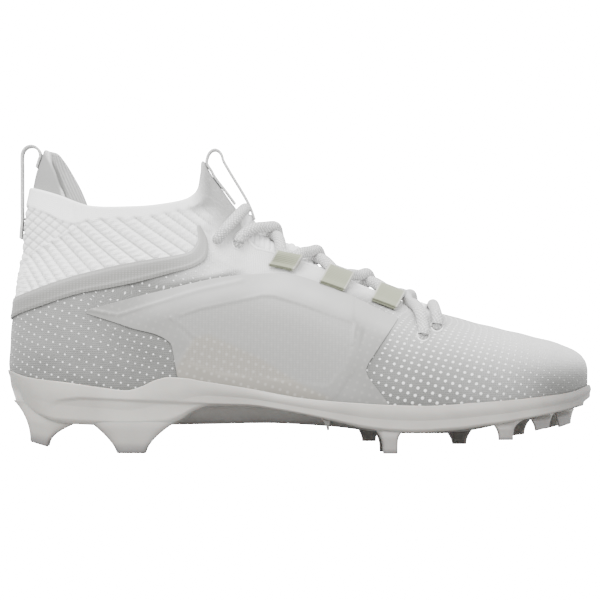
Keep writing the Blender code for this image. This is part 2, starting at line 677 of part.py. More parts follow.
def make_tongue(material):
    """The soft panel under the throat, which swells through it between the laces."""
    along = np.linspace(THROAT_BACK - TONGUE_BACK_TUCK, THROAT_FRONT + TONGUE_FRONT_TUCK, 26)
    across = np.linspace(-1, 1, 9)
    x, t = np.meshgrid(along, across, indexing="ij")
    half = throat_half(x) + TONGUE_TUCK
    y = LAST.centre(x) + t * half
    opening = throat_half(x) - TONGUE_EDGE_GAP
    inside = 1 - blend(0.80, 1.0, np.abs(t) * half / opening)
    inside *= blend(THROAT_BACK - TONGUE_END_FADE, THROAT_BACK + 1.5 * TONGUE_END_FADE, x)
    inside *= 1 - blend(THROAT_FRONT - TONGUE_END_FADE, THROAT_FRONT + 0.75 * TONGUE_END_FADE, x)
    swell = np.ones_like(x)
    for crossing in crossings():
        swell *= blend(GROOVE_HALF, GROOVE_OUT, np.abs(x - crossing) - 0.60 * np.abs(t) * half)
    hidden = -(UPPER_WALL + 3.5 * CLEARANCE)
    shown = TONGUE_BULGE * swell - TONGUE_REST
    lift = hidden + (shown - hidden) * inside
    top = surface_grid(x, y, lift)
    bottom = surface_grid(x, y, lift - TONGUE_THICKNESS)
    return slab("tongue", top, bottom, material)


def surface_grid(x, y, lift):
    """Points over plan places, moved square to the surface by lift."""
    step = 0.0005
    z = LAST.top(x, y)
    slope_x = (LAST.top(x + step, y) - LAST.top(x - step, y)) / (2 * step)
    slope_y = (LAST.top(x, y + step) - LAST.top(x, y - step)) / (2 * step)
    normal = np.stack([-slope_x, -slope_y, np.ones_like(z)], -1)
    normal /= np.linalg.norm(normal, axis=-1, keepdims=True)
    return np.stack([x, y, z], -1) + normal * np.asarray(lift)[..., None]


def heel_wrap(forward, z, out):
    """Points round the heel: signed distances forward of its back, positive on the inner side, by height."""
    x = LAST.back(z) + np.abs(forward)
    y = LAST.centre(x) + np.sign(forward) * LAST.half_width(x, z)
    grid = np.stack([x, y, z], -1)
    around = np.gradient(grid, axis=0)
    up = np.gradient(grid, axis=1)
    normal = np.cross(around, up)
    normal /= -np.linalg.norm(normal, axis=2, keepdims=True)
    return grid + normal * np.asarray(out)[..., None]


def round_shares(count):
    """Shares from -1 to 1 that turn evenly round the heel."""
    turn = np.linspace(-1, 1, count)
    return np.sign(turn) * (1 - np.cos(turn * math.pi / 2))


def make_heel_lining(material):
    """The padded lining that stands above the collar at the heel, higher on its inner side."""
    low = LINING_FOOT * COLLAR_HEIGHT
    turn = round_shares(17)[:, None]
    outer_way = -turn * LINING_OUTER["forward"][-1] * LENGTH
    inner_way = turn * LINING_INNER["forward"][-1] * LENGTH
    outer_crest = smooth(LINING_OUTER, "forward", "high", outer_way / LENGTH)
    inner_crest = smooth(LINING_INNER, "forward", "high", inner_way / LENGTH)
    crest = np.where(turn < 0, outer_crest, inner_crest) * COLLAR_HEIGHT
    forward = np.where(turn < 0, -outer_way, inner_way)
    z = low + (crest - low) * np.linspace(0, 1, 6)
    forward = forward + np.zeros_like(z)
    depth = UPPER_WALL + 2 * CLEARANCE
    front = heel_wrap(forward, z, np.full_like(z, -depth))
    back = heel_wrap(forward, z, np.full_like(z, -depth - LINING_THICKNESS))
    return slab("heel_lining", front, back, material)


def film_grid(side, out):
    """Points of the side film, from its rear tip to its front edge and from the rim up."""
    shares = np.linspace(0, 1, FILM_COLUMNS)
    rises = np.linspace(0, 1, FILM_ROWS)
    s, r = np.meshgrid(shares, rises, indexing="ij")
    top_x = LENGTH * (FILM_TOP["along"][0] + (FILM_TOP["along"][-1] - FILM_TOP["along"][0]) * s)
    low_x = LENGTH * (FILM_LOW["along"][0] + (FILM_LOW_FRONT - FILM_LOW["along"][0]) * s)
    top_z = smooth(FILM_TOP, "along", "high", top_x / LENGTH) * TAB_HEIGHT
    low_line = smooth(FILM_LOW, "along", "high", low_x / LENGTH) * TAB_HEIGHT
    low_z = np.maximum(low_line * (low_x < FILM_LOW["along"][-1] * LENGTH), LAST.rim(low_x) + 2 * CLEARANCE)
    x = low_x + (top_x - low_x) * r - FILM_FRONT_BOW * LENGTH * s**6 * np.sin(math.pi * r)
    z = low_z + (top_z - low_z) * r
    return LAST.side_point(side, x, z, out + np.zeros_like(x))


def make_film(side, word, material):
    """The clear film over the side of the foot, thicker where the strap layer lies on it."""
    shares = np.linspace(0, 1, FILM_COLUMNS)[:, None]
    (rise_low, fall_low), (rise_high, fall_high) = STRAP["low"], STRAP["high"]
    strap = blend(rise_low, rise_high, shares) * (1 - blend(fall_low, fall_high, shares))
    strap = strap * np.ones((1, FILM_ROWS))
    inner = film_grid(side, np.full((FILM_COLUMNS, FILM_ROWS), OVERLAY_CLEARANCE))
    outer = film_grid(side, OVERLAY_CLEARANCE + FILM_THICKNESS + STRAP_STEP * strap)
    return slab(f"side_film_{word}", outer, inner, material)


def make_band(material):
    """The welded band round the heel under the collar, from one side to the other."""
    reach = (BAND["along"][-1] - BAND["along"][0]) * LENGTH
    forward = round_shares(29)[:, None] * reach * np.ones((1, 3))
    place = BAND["along"][0] + np.abs(forward) / LENGTH
    z = smooth(BAND, "along", "high", place) * TAB_HEIGHT + BAND_WIDTH * np.linspace(0, 1, 3)
    inner = heel_wrap(forward, z, np.full_like(z, OVERLAY_CLEARANCE))
    outer = heel_wrap(forward, z, np.full_like(z, OVERLAY_CLEARANCE + BAND_THICKNESS))
    return slab("collar_band", outer, inner, material)


def loop_edge(x):
    """Distance from the shoe's middle to the loops' upper ends."""
    return throat_half(x) + LOOP_SETBACK


def down_surface(x, start, side, length):
    """Distance from the middle after a walk of some length down the side, from start at the same place."""
    walk = start[..., None] + np.linspace(0, LOOP_LENGTH, 24)
    place = x[..., None] + np.zeros_like(walk)
    z = LAST.top(place, LAST.centre(place) + side * walk)
    run = np.cumsum(np.hypot(np.diff(walk, axis=-1), np.diff(z, axis=-1)), axis=-1)
    run = np.concatenate([np.zeros_like(run[..., :1]), run], axis=-1)
    walk = walk + np.zeros_like(run)
    flat = [np.interp(l, r, w) for l, r, w in zip(length.ravel(), run.reshape(-1, 24), walk.reshape(-1, 24))]
    return np.array(flat).reshape(length.shape)


def make_lace_loop(side, word, number, material):
    """A folded tape that lies on the side of the foot below the throat."""
    middle = LOOPS["along"][number] * LENGTH
    u, v = np.meshgrid(np.linspace(-0.5, 0.5, 4), np.linspace(0, 1, 6), indexing="ij")
    x = middle + u * LOOP_WIDTH - v * LOOP_LENGTH * LOOP_RAKE
    y = LAST.centre(x) + side * down_surface(x, loop_edge(x[:, :1]), side, v * LOOP_LENGTH)
    gap = OVERLAY_CLEARANCE + FILM_THICKNESS + STRAP_STEP + 2 * CLEARANCE
    inner = surface_grid(x, y, np.full_like(x, gap))
    outer = surface_grid(x, y, gap + LOOP_THICKNESS * (1 - 0.5 * v))
    return slab(f"lace_loop_{word}_{number + 1}", outer, inner, material)


def hole_point(side, number, towards=0.0):
    """Plan of a lace hole, moved towards the shoe's middle."""
    x, z = lace_holes()[number]
    half = float(LAST.half_width(np.array([x]), np.array([z]))[0]) - towards
    return np.array([x, float(LAST.centre(x)) + side * half])


def loop_point(side, number, way):
    """Plan of the strand's end at a loop, ahead of or behind the loop's middle."""
    x = LOOPS["along"][number] * LENGTH + way * 0.28 * LOOP_WIDTH
    return np.array([x, float(LAST.centre(x)) + side * (float(loop_edge(x)) - LACE_STANDOFF)])


def strand_ends(side):
    """The plan points that the strands leave forwards from, and those that they come back to."""
    count = len(LOOPS["along"])
    fronts = [hole_point(side, 1, 0.001)] + [loop_point(side, n, 1) for n in range(count)]
    backs = [loop_point(side, n, -1) for n in range(count)] + [hole_point(side, 2, 0.003)]
    return fronts, backs


def crossings():
    """Where the strands cross over the throat, along the shoe."""
    fronts, backs = strand_ends(OUTER)
    inner_backs = strand_ends(INNER)[1]
    places = []
    for front, back in zip(fronts, inner_backs):
        share = -front[1] / (back[1] - front[1])
        places.append(front[0] + (back[0] - front[0]) * share)
    return [FIRST_CROSSING * LENGTH] + places[1:]


def lace_path(start, end, crossing=None):
    """A strand over the throat between two plan points, pressed to the tongue and the upper."""
    t = np.linspace(0, 1, 13)[:, None]
    plan = start * (1 - t) + end * t
    if crossing is not None:
        plan[:, 0] += (crossing - plan[6, 0]) * np.sin(math.pi * t[:, 0])
    lift = LACE_DIAMETER / 2 + LACE_LIFT
    return surface_grid(plan[:, 0], plan[:, 1], np.full(13, lift))


def make_laces(material):
    """Four crossings and two bars over the throat."""
    outer_fronts, outer_backs = strand_ends(OUTER)
    inner_fronts, inner_backs = strand_ends(INNER)
    radius = LACE_DIAMETER / 2
    for number in range(len(outer_fronts)):
        bend = crossings()[0] if number == 0 else None
        one = lace_path(outer_fronts[number], inner_backs[number], bend)
        two = lace_path(inner_fronts[number], outer_backs[number], bend)
        piece = tube(f"lace_crossing_{number + 1}", one, radius, material)
        boolean(piece, tube(f"strand_{number + 1}", two, radius * 0.97, None), "UNION")
    for name, ridge_along, hole in zip(("lace_bar_top", "lace_bar_toe"), BARS["along"], (0, 3)):
        path = lace_path(hole_point(OUTER, hole, 0.002), hole_point(INNER, hole, 0.002), ridge_along * LENGTH)
        tube(name, path, radius, material)


def strip(name, path, width, thickness, material):
    """Webbing of even thickness that follows a path in the shoe's middle plane."""
    path = np.asarray(path, float)
    tangent = np.gradient(path, axis=0)
    tangent /= np.linalg.norm(tangent, axis=1, keepdims=True)
    normal = np.stack([tangent[:, 1], -tangent[:, 0]], 1)
    sheets = []
    for out in (thickness / 2, -thickness / 2):
        moved = path + normal * out
        centre = LAST.centre(np.full(len(path), path[0, 0]))
        rows = [np.stack([moved[:, 0], centre + y, moved[:, 1]], 1) for y in (-width / 2, 0.0, width / 2)]
        sheets.append(np.array(rows))
    return slab(name, sheets[0], sheets[1], material)


def arc(centre, radius_x, radius_z, start, end, steps):
    """Points of an ellipse between two angles in degrees."""
    angles = np.radians(np.linspace(start, end, steps))
    return np.stack([centre[0] + radius_x * np.cos(angles), centre[1] + radius_z * np.sin(angles)], 1)


def make_tongue_pull(material):
    """The loop in front of the tab: up its front, over in an arc and down to the instep."""
    gap = CLEARANCE + PULL_THICKNESS / 2 + PULL_SEAT_GAP
    z = np.linspace(*TONGUE_PULL_SEAT, 8) * TAB_HEIGHT
    x = LAST.front(z)
    slope = np.gradient(x, z)
    inner = np.stack([x + gap / np.sqrt(1 + slope**2), z - gap * slope / np.sqrt(1 + slope**2)], 1)
    top = inner[-1]
    radius = TONGUE_PULL_REACH / 2
    arch = arc((top[0] + radius, top[1] + PULL_SEAT_GAP), radius, TONGUE_PULL_RISE, 180, 12, 8)
    foot_x = TONGUE_PULL_FOOT * LENGTH
    foot = np.array([foot_x, float(LAST.ridge(np.array([foot_x]))[0]) + gap + TONGUE_PULL_LIFT])
    t = np.linspace(0, 1, 7)[1:, None]
    outer = arch[-1] * (1 - t) + foot * t
    outer[:, 0] += TONGUE_PULL_BOW * np.sin(math.pi * t[:, 0] ** 1.8)
    path = np.concatenate([inner[:-1], arch, outer])
    return strip("tongue_pull_loop", path, TONGUE_PULL_WIDTH, PULL_THICKNESS, material)


def make_heel_pull(material):
    """The loop behind the heel: from the back of the collar up and over to the lining."""
    gap = CLEARANCE + PULL_THICKNESS / 2 + PULL_SEAT_GAP
    low = np.linspace(*HEEL_PULL_SEAT, 3) * COLLAR_HEIGHT
    seated = np.stack([LAST.back(low) - gap, low], 1)
    spring = LINING_OUTER["high"][0] * COLLAR_HEIGHT - HEEL_PULL_DROP
    landing = np.linspace(spring, spring - HEEL_PULL_TAIL, 4)
    landing_x = LAST.back(landing) + UPPER_WALL + 2 * CLEARANCE - gap
    rear_x = seated[-1, 0]
    radius = (landing_x[0] - rear_x) / 2
    rise = np.linspace(seated[-1, 1], spring, 6)[1:-1]
    straight = np.stack([np.full_like(rise, rear_x), rise], 1)
    over = arc((rear_x + radius, spring), radius, HEEL_PULL_RISE, 180, 0, 9)
    path = np.concatenate([seated, straight, over, np.stack([landing_x, landing], 1)[1:]])
    return strip("heel_pull_loop", path, HEEL_PULL_WIDTH, PULL_THICKNESS, material)


def clear_scene():
    for old in list(bpy.data.objects):
        bpy.data.objects.remove(old)


def main():
    clear_scene()
    plate = finish("moulded plate", (0.62, 0.61, 0.58), 0.35)
    knit = finish("knit", (0.80, 0.80, 0.79), 0.85)
    lining = finish("lining twill", (0.85, 0.85, 0.85), 0.80)
    foam = finish("insole cloth", (0.70, 0.70, 0.70), 0.90)
    cord = finish("lace cord", (0.86, 0.86, 0.86), 0.75)
    webbing = finish("loop webbing", (0.72, 0.76, 0.66), 0.70)
    clear = finish("side film", (0.78, 0.78, 0.76), 0.40)
    make_outsole(plate)
    make_insole(foam)
    make_upper(knit)
    make_tongue(knit)
    make_heel_lining(lining)
    make_band(clear)
    for side, word in ((OUTER, "outer"), (INNER, "inner")):
        make_film(side, word, clear)
        for number in range(len(LOOPS["along"])):
            make_lace_loop(side, word, number, webbing)
    make_laces(cord)
    make_tongue_pull(lining)
    make_heel_pull(lining)


main()
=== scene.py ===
"""Looks of a right-foot cleat: knit bootie, frosted side films, tape loops, round lace and a moulded plate.

Metres, +X to the toe, -Y to the outer side of the foot and to the camera, +Z up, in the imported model's frame.
Every piece follows one last, whose half width is a function of the place along the shoe and the height.
"""

import logging
import math
from dataclasses import dataclass, field
from enum import Enum
from typing import Callable, Optional

import bpy
import numpy as np
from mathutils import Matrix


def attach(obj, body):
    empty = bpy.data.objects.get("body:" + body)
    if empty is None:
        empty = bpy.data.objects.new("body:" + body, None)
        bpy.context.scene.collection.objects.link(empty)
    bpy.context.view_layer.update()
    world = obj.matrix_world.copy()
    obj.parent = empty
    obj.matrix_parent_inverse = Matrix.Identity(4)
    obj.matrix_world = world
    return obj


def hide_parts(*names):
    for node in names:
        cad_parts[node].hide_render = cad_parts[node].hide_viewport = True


Array = np.ndarray
Point = tuple[float, float]

logging.basicConfig(level=logging.INFO, format="%(message)s")
LOG = logging.getLogger("cleat")

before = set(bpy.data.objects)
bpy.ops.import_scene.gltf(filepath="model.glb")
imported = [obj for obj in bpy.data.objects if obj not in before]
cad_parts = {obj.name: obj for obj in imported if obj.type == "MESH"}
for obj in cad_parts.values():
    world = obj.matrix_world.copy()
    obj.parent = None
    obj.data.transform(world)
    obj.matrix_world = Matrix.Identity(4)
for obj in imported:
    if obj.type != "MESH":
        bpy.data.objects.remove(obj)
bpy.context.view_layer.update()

LENGTH = 0.292
TAB_HEIGHT = 0.1455
COLLAR_HEIGHT = 0.1215
RIM_HEIGHT = 0.0375
MM = 0.001
FLOOR_GAP = 0.0003
BOW_FADE = 1.5
PROBE = 1e-5
DOT_PITCH = 0.00383
DOT_TURN = 19.0
WAVE = 2 * math.pi / 20


class Side(Enum):
    """The two sides of the shoe, as the sign of their place across."""

    OUTER = -1.0
    INNER = 1.0

    @property
    def word(self) -> str:
        """The side's word in a piece's name."""
        return self.name.lower()


def smoothstep(low: float, high: float, at: Array) -> Array:
    """0 below low, 1 above high, and 3t^2 - 2t^3 between.

    Args:
        low: Where the step starts.
        high: Where it ends.
        at: Places to read it at.

    Returns:
        The step's height at each place.
    """
    t = np.clip((np.asarray(at) - low) / (high - low), 0, 1)
    return t * t * (3 - 2 * t)


def bell(distance: Array, width: float) -> Array:
    """1 at no distance, falling as exp(-(distance / width)^2)."""
    return np.exp(-((distance / width) ** 2))


def unit(vectors: Array) -> Array:
    """Vectors along the last axis, each made one long."""
    return vectors / np.maximum(np.linalg.norm(vectors, axis=-1, keepdims=True), 1e-12)


@dataclass(frozen=True)
class Curve:
    """A smooth curve with no overshoot through rows of a place and a value, each times its own size."""

    along: float
    high: float
    rows: tuple[Point, ...]

    def at(self, places: Array) -> Array:
        """Cubic between two rows, with slopes that are harmonic means of the slopes on both sides.

        Args:
            places: Places along the curve, in metres where its size is one.

        Returns:
            The values there.
        """
        xs, ys = np.array(self.rows, float).T
        steps = np.diff(xs)
        slopes = np.diff(ys) / steps
        bends = np.zeros_like(xs)
        same_way = slopes[:-1] * slopes[1:] > 0
        weight_a = 2 * steps[1:] + steps[:-1]
        weight_b = steps[1:] + 2 * steps[:-1]
        safe_a = np.where(same_way, slopes[:-1], 1.0)
        safe_b = np.where(same_way, slopes[1:], 1.0)
        mean = (weight_a + weight_b) / (weight_a / safe_a + weight_b / safe_b)
        bends[1:-1] = np.where(same_way, mean, 0.0)
        bends[0], bends[-1] = slopes[0], slopes[-1]
        where = np.clip(np.asarray(places, float) / self.along, xs[0], xs[-1])
        cell = np.clip(np.searchsorted(xs, where, side="right") - 1, 0, len(steps) - 1)
        t = (where - xs[cell]) / steps[cell]
        ease = t * t * (3 - 2 * t)
        bend = bends[cell] * t * (1 - t) ** 2 - bends[cell + 1] * t * t * (1 - t)
        return (ys[cell] * (1 - ease) + ys[cell + 1] * ease + bend * steps[cell]) * self.high


RIDGE = Curve(TAB_HEIGHT, LENGTH, (
    (0.172, 0.488), (0.206, 0.494), (0.245, 0.497), (0.284, 0.497), (0.308, 0.495), (0.332, 0.488),
    (0.353, 0.475), (0.377, 0.448), (0.405, 0.393), (0.432, 0.338), (0.459, 0.283), (0.475, 0.254),
    (0.494, 0.212), (0.547, 0.144), (0.612, 0.068), (0.680, 0.000), (0.736, -0.050), (0.782, -0.082),
    (0.831, -0.105), (0.892, -0.128), (0.948, -0.149), (1.000, -0.162),
))
BACK = Curve(COLLAR_HEIGHT, LENGTH, (
    (0.200, -0.483), (0.250, -0.491), (0.300, -0.496), (0.358, -0.498), (0.458, -0.496), (0.533, -0.494),
    (0.633, -0.489), (0.733, -0.484), (0.783, -0.479), (0.833, -0.476), (0.917, -0.474), (1.000, -0.470),
    (1.085, -0.464), (1.150, -0.459), (1.233, -0.449), (1.262, -0.446),
))
COLLAR = Curve(LENGTH, COLLAR_HEIGHT, (
    (-0.464, 1.085), (-0.442, 1.070), (-0.405, 1.042), (-0.382, 1.020), (-0.358, 1.003), (-0.329, 0.998),
    (-0.269, 1.002), (-0.223, 1.015), (-0.193, 1.032), (-0.176, 1.058), (-0.168, 1.0891), (-0.165, 1.1299),
    (-0.163, 1.1667), (-0.162, 1.1975),
))
RIM = Curve(LENGTH, RIM_HEIGHT, (
    (-0.500, 1.107), (-0.459, 0.995), (-0.386, 0.912), (-0.335, 0.853), (-0.291, 0.816), (-0.267, 0.864),
    (-0.243, 0.949), (-0.221, 0.987), (-0.192, 0.976), (-0.167, 0.941), (-0.095, 0.853), (0.000, 0.720),
    (0.054, 0.672), (0.168, 0.619), (0.212, 0.613), (0.240, 0.619), (0.286, 0.648), (0.336, 0.675),
    (0.369, 0.699), (0.414, 0.739), (0.457, 0.789), (0.500, 0.907),
))
FLOOR = Curve(LENGTH, RIM_HEIGHT, (
    (-0.500, 0.700), (-0.377, 0.668), (-0.274, 0.675), (-0.205, 0.692), (-0.137, 0.692), (-0.068, 0.670),
    (0.000, 0.613), (0.068, 0.515), (0.171, 0.415), (0.274, 0.415), (0.377, 0.480), (0.445, 0.555),
    (0.500, 0.653),
))
EDGE = Curve(LENGTH, RIM_HEIGHT, (
    (-0.500, 0.773), (-0.479, 0.600), (-0.438, 0.453), (-0.404, 0.395), (-0.363, 0.381), (-0.291, 0.360),
    (-0.233, 0.363), (-0.205, 0.432), (-0.178, 0.560), (-0.151, 0.624), (-0.096, 0.624), (-0.034, 0.568),
    (0.017, 0.493), (0.068, 0.405), (0.110, 0.331), (0.154, 0.288), (0.199, 0.275), (0.236, 0.293),
    (0.271, 0.315), (0.308, 0.357), (0.342, 0.392), (0.377, 0.443), (0.428, 0.520), (0.471, 0.608),
    (0.500, 0.747),
))
UNDERSIDE = Curve(LENGTH, RIM_HEIGHT, (
    (-0.500, 0.587), (-0.428, 0.405), (-0.342, 0.379), (-0.240, 0.373), (-0.171, 0.380), (-0.068, 0.395),
    (0.034, 0.355), (0.103, 0.301), (0.171, 0.261), (0.240, 0.261), (0.308, 0.299), (0.377, 0.387),
    (0.445, 0.485), (0.500, 0.600),
))


@dataclass
class Last:
    """The form that every piece follows: its half width at any place along the shoe and height."""

    heel_width: float = 0.068
    ball_width: float = 0.101
    heel_round: float = 0.042
    toe_round: float = 0.070
    heel_power: float = 2.2
    arch_power: float = 2.15
    tuck: float = 0.07
    ankle_fade: Point = (-0.12, 0.06)
    centre_line: Curve = Curve(LENGTH, 0.101, (
        (-0.500, 0.000), (-0.291, -0.005), (-0.205, -0.020), (-0.103, -0.036), (0.000, -0.040),
        (0.103, -0.020), (0.171, -0.005), (0.240, 0.003), (0.308, 0.015), (0.377, 0.035), (0.428, 0.054),
        (0.473, 0.079), (0.500, 0.099),
    ))
    spread: Curve = Curve(LENGTH, 1.0, (
        (-0.500, 0.000), (-0.205, 0.000), (-0.103, 0.060), (0.000, 0.360), (0.103, 0.800), (0.171, 0.970),
        (0.240, 1.000), (0.308, 0.950), (0.377, 0.860), (0.428, 0.760), (0.500, 0.620),
    ))
    ankle: Curve = Curve(COLLAR_HEIGHT, 1.0, (
        (0.200, 1.000), (0.417, 1.000), (0.517, 0.985), (0.625, 0.945), (0.733, 0.885), (0.833, 0.840),
        (0.958, 0.820), (1.250, 0.800),
    ))
    cut: float = field(init=False)
    ridge_x: Array = field(init=False)
    ridge_z: Array = field(init=False)

    def __post_init__(self) -> None:
        """Reads the ridge once from the toe's front to the tab's tip, as places for a look-up."""
        self.cut = RIDGE.rows[3][0] * TAB_HEIGHT
        highs = np.linspace(self.cut, TAB_HEIGHT, 400)
        self.ridge_x = RIDGE.at(highs)[::-1]
        self.ridge_z = highs[::-1]

    def ridge(self, x: Array) -> Array:
        """Height of the top line over a place, carried straight on behind the tab."""
        slope = (self.ridge_z[0] - self.ridge_z[1]) / (self.ridge_x[1] - self.ridge_x[0])
        return np.interp(x, self.ridge_x, self.ridge_z) + np.maximum(self.ridge_x[0] - x, 0) * slope

    def centre(self, x: Array) -> Array:
        """How far the sole's middle lies to the inner side."""
        return self.centre_line.at(x)

    def half_width(self, x: Array, z: Array) -> Array:
        """The plan's half width, times round ends, an arch over the foot and a narrower ankle.

        Each round end is (1 - (1 - d)^p)^(1/p) of the distance d from it, and the arch the same of the height.

        Args:
            x: Places along the shoe.
            z: Heights.

        Returns:
            The distance from the centre line to the outer surface.
        """
        plan = (self.heel_width + (self.ball_width - self.heel_width) * self.spread.at(x)) / 2
        heel = np.clip((x - BACK.at(z)) / self.heel_round, 0, 1)
        heel_end = (1 - (1 - heel) ** self.heel_power) ** (1 / self.heel_power)
        toe = np.clip((RIDGE.at(np.minimum(z, self.cut)) - x) / self.toe_round, 0, 1)
        toe_end = np.sqrt(1 - (1 - toe) ** 2)
        widest = RIM.at(x) + RIM_HEIGHT / 8
        rise = np.clip((z - widest) / np.maximum(self.ridge(x) - widest, 1e-4), 0, 1)
        arch = (1 - rise**self.arch_power) ** (1 / self.arch_power)
        sink = np.clip((widest - z) / (widest - FLOOR.at(x)), 0, 1.5)
        behind = 1 - smoothstep(self.ankle_fade[0] * LENGTH, self.ankle_fade[1] * LENGTH, x)
        ankle = 1 - (1 - self.ankle.at(z)) * behind
        return plan * heel_end * toe_end * arch * ankle * (1 - self.tuck * sink**2)

    def top(self, x: Array, y: Array) -> Array:
        """Height of the last over points of the plan, by halving the range from the rim to the ridge."""
        low, high = RIM.at(x), self.ridge(x)
        across = np.abs(y - self.centre(x))
        for _ in range(36):
            middle = (low + high) / 2
            inside = self.half_width(x, middle) > across
            low = np.where(inside, middle, low)
            high = np.where(inside, high, middle)
        return (low + high) / 2

    def side_point(self, side: Side, x: Array, z: Array, out: Array | float = 0.0) -> Array:
        """Points of the outer surface at places of the side view, moved outwards along the normal.

        Args:
            side: Which side.
            x: Places along the shoe.
            z: Heights.
            out: Distance outwards.

        Returns:
            Points, with the coordinates last.
        """
        step = 0.0004
        along = self.raw(side, x + step, z) - self.raw(side, x - step, z)
        up = self.raw(side, x, z + step) - self.raw(side, x, z - step)
        normal = unit(-np.cross(along, up) * side.value)
        return self.raw(side, x, z) + normal * (np.zeros_like(x) + out)[..., None]

    def raw(self, side: Side, x: Array, z: Array) -> Array:
        """Points of the outer surface at places of the side view."""
        return np.stack([x, self.centre(x) + side.value * self.half_width(x, z), z], -1)

    def over(self, x: Array, y: Array, lift: Array | float) -> Array:
        """Points over places of the plan, moved square to the surface by lift."""
        step = 0.0005
        z = self.top(x, y)
        slope_x = (self.top(x + step, y) - self.top(x - step, y)) / (2 * step)
        slope_y = (self.top(x, y + step) - self.top(x, y - step)) / (2 * step)
        normal = unit(np.stack([-slope_x, -slope_y, np.ones_like(z)], -1))
        return np.stack([x, y, z], -1) + normal * (np.zeros_like(z) + lift)[..., None]


LAST = Last()


def arc_lengths(grid: Array, axis: int) -> Array:
    """Distance walked along a grid's rows or columns, from zero."""
    steps = np.linalg.norm(np.diff(grid, axis=axis), axis=2)
    start = np.zeros_like(np.take(steps, [0], axis=axis))
    return np.cumsum(np.concatenate([start, steps], axis=axis), axis=axis)


def evenly(line: Array, count: int, ends: bool = True) -> Array:
    """Points at equal distances along a line.

    Args:
        line: The line's points.
        count: How many points to give.
        ends: Whether the last one lies on the line's end.

    Returns:
        The points.
    """
    run = np.concatenate([[0], np.cumsum(np.linalg.norm(np.diff(line, axis=0), axis=1))])
    even = np.linspace(0, run[-1], count, endpoint=ends)
    return np.stack([np.interp(even, run, line[:, k]) for k in range(line.shape[1])], 1)


def grid_normals(grid: Array, closed: bool = False) -> Array:
    """Unit normals of a grid: the cross product of its steps along the columns and up the rows."""
    if closed:
        around = np.roll(grid, -1, 1) - np.roll(grid, 1, 1)
    else:
        around = np.gradient(grid, axis=1)
    return unit(np.cross(around, np.gradient(grid, axis=0)))


def mesh_object(name: str, points: Array, faces: list, flat: Optional[Array] = None,
                channels: Optional[dict[str, Array]] = None) -> bpy.types.Object:
    """One smooth object from points and faces, with its flat map and its named values.

    Args:
        name: The piece's name.
        points: Points by three coordinates.
        faces: Lists of point numbers, outwards.
        flat: Two places on the cloth for each point, in metres.
        channels: Values for each point, by the name that a material reads.

    Returns:
        The object.
    """
    mesh = bpy.data.meshes.new(name)
    mesh.from_pydata(points.tolist(), [], faces)
    if flat is not None:
        layer = mesh.uv_layers.new(name="cloth")
        corners = np.empty(len(mesh.loops), np.int32)
        mesh.loops.foreach_get("vertex_index", corners)
        layer.data.foreach_set("uv", flat[corners].astype(np.float32).ravel())
    for key, values in (channels or {}).items():
        mesh.attributes.new(key, "FLOAT", "POINT").data.foreach_set("value", values.astype(np.float32).ravel())
    mesh.polygons.foreach_set("use_smooth", np.ones(len(mesh.polygons), bool))
    mesh.validate()
    piece = bpy.data.objects.new(name, mesh)
    bpy.context.scene.collection.objects.link(piece)
    return piece


def quads(rows: int, columns: int, closed: bool) -> Array:
    """Point numbers of a grid's faces, by row and column: (i, j), (i, j+1), (i+1, j+1), (i+1, j)."""
    index = np.arange(rows * columns).reshape(rows, columns)
    right = np.roll(index, -1, 1) if closed else index[:, 1:]
    left = index if closed else index[:, :-1]
    return np.stack([left[:-1], right[:-1], right[1:], left[1:]], -1)


def rung_faces(rows: int, count: int, turn_first: bool) -> list[list[int]]:
    """Faces of a closed grid, its first and last row filled with rungs from side to side.

    Args:
        rows: The grid's rows.
        count: Points round each row, mirrored about its first point.
        turn_first: Whether the first row's rungs are turned over, or else the last row's.

    Returns:
        Lists of point numbers.
    """
    faces = quads(rows, count, True).reshape(-1, 4).tolist()
    half = count // 2
    for first, turned in ((0, turn_first), ((rows - 1) * count, not turn_first)):
        last = first + count
        rungs = [[first, first + 1, last - 1]]
        rungs += [[first + i, first + i + 1, last - i - 1, last - i] for i in range(1, half - 1)]
        rungs += [[first + half - 1, first + half, first + half + 1]]
        faces += [rung[::-1] for rung in rungs] if turned else rungs
    return faces


def grid_object(name: str, grid: Array, closed: bool = False, keep: Optional[Array] = None,
                flat: Optional[Array] = None, channels: Optional[dict[str, Array]] = None,
                caps: bool = False) -> bpy.types.Object:
    """One object from a grid of points, with the faces that keep leaves.

    Args:
        name: The piece's name.
        grid: Rows by columns by three coordinates.
        closed: Whether each row joins its own start.
        keep: Which faces stay, by row and column.
        flat: Places on the cloth, by row and column.
        channels: Values by row and column.
        caps: Whether the first and last row are closed with a face.

    Returns:
        The object.
    """
    rows, columns = grid.shape[:2]
    faces = quads(rows, columns, closed)
    faces = faces[keep] if keep is not None else faces.reshape(-1, 4)
    used, faces = np.unique(faces, return_inverse=True)
    listed = faces.reshape(-1, 4).tolist()
    if caps:
        listed.append(list(range(columns))[::-1])
        listed.append([(rows - 1) * columns + j for j in range(columns)])
    values = {key: (value + np.zeros((rows, columns))).ravel()[used] for key, value in (channels or {}).items()}
    places = None if flat is None else flat.reshape(-1, 2)[used]
    return mesh_object(name, grid.reshape(-1, 3)[used], listed, places, values)


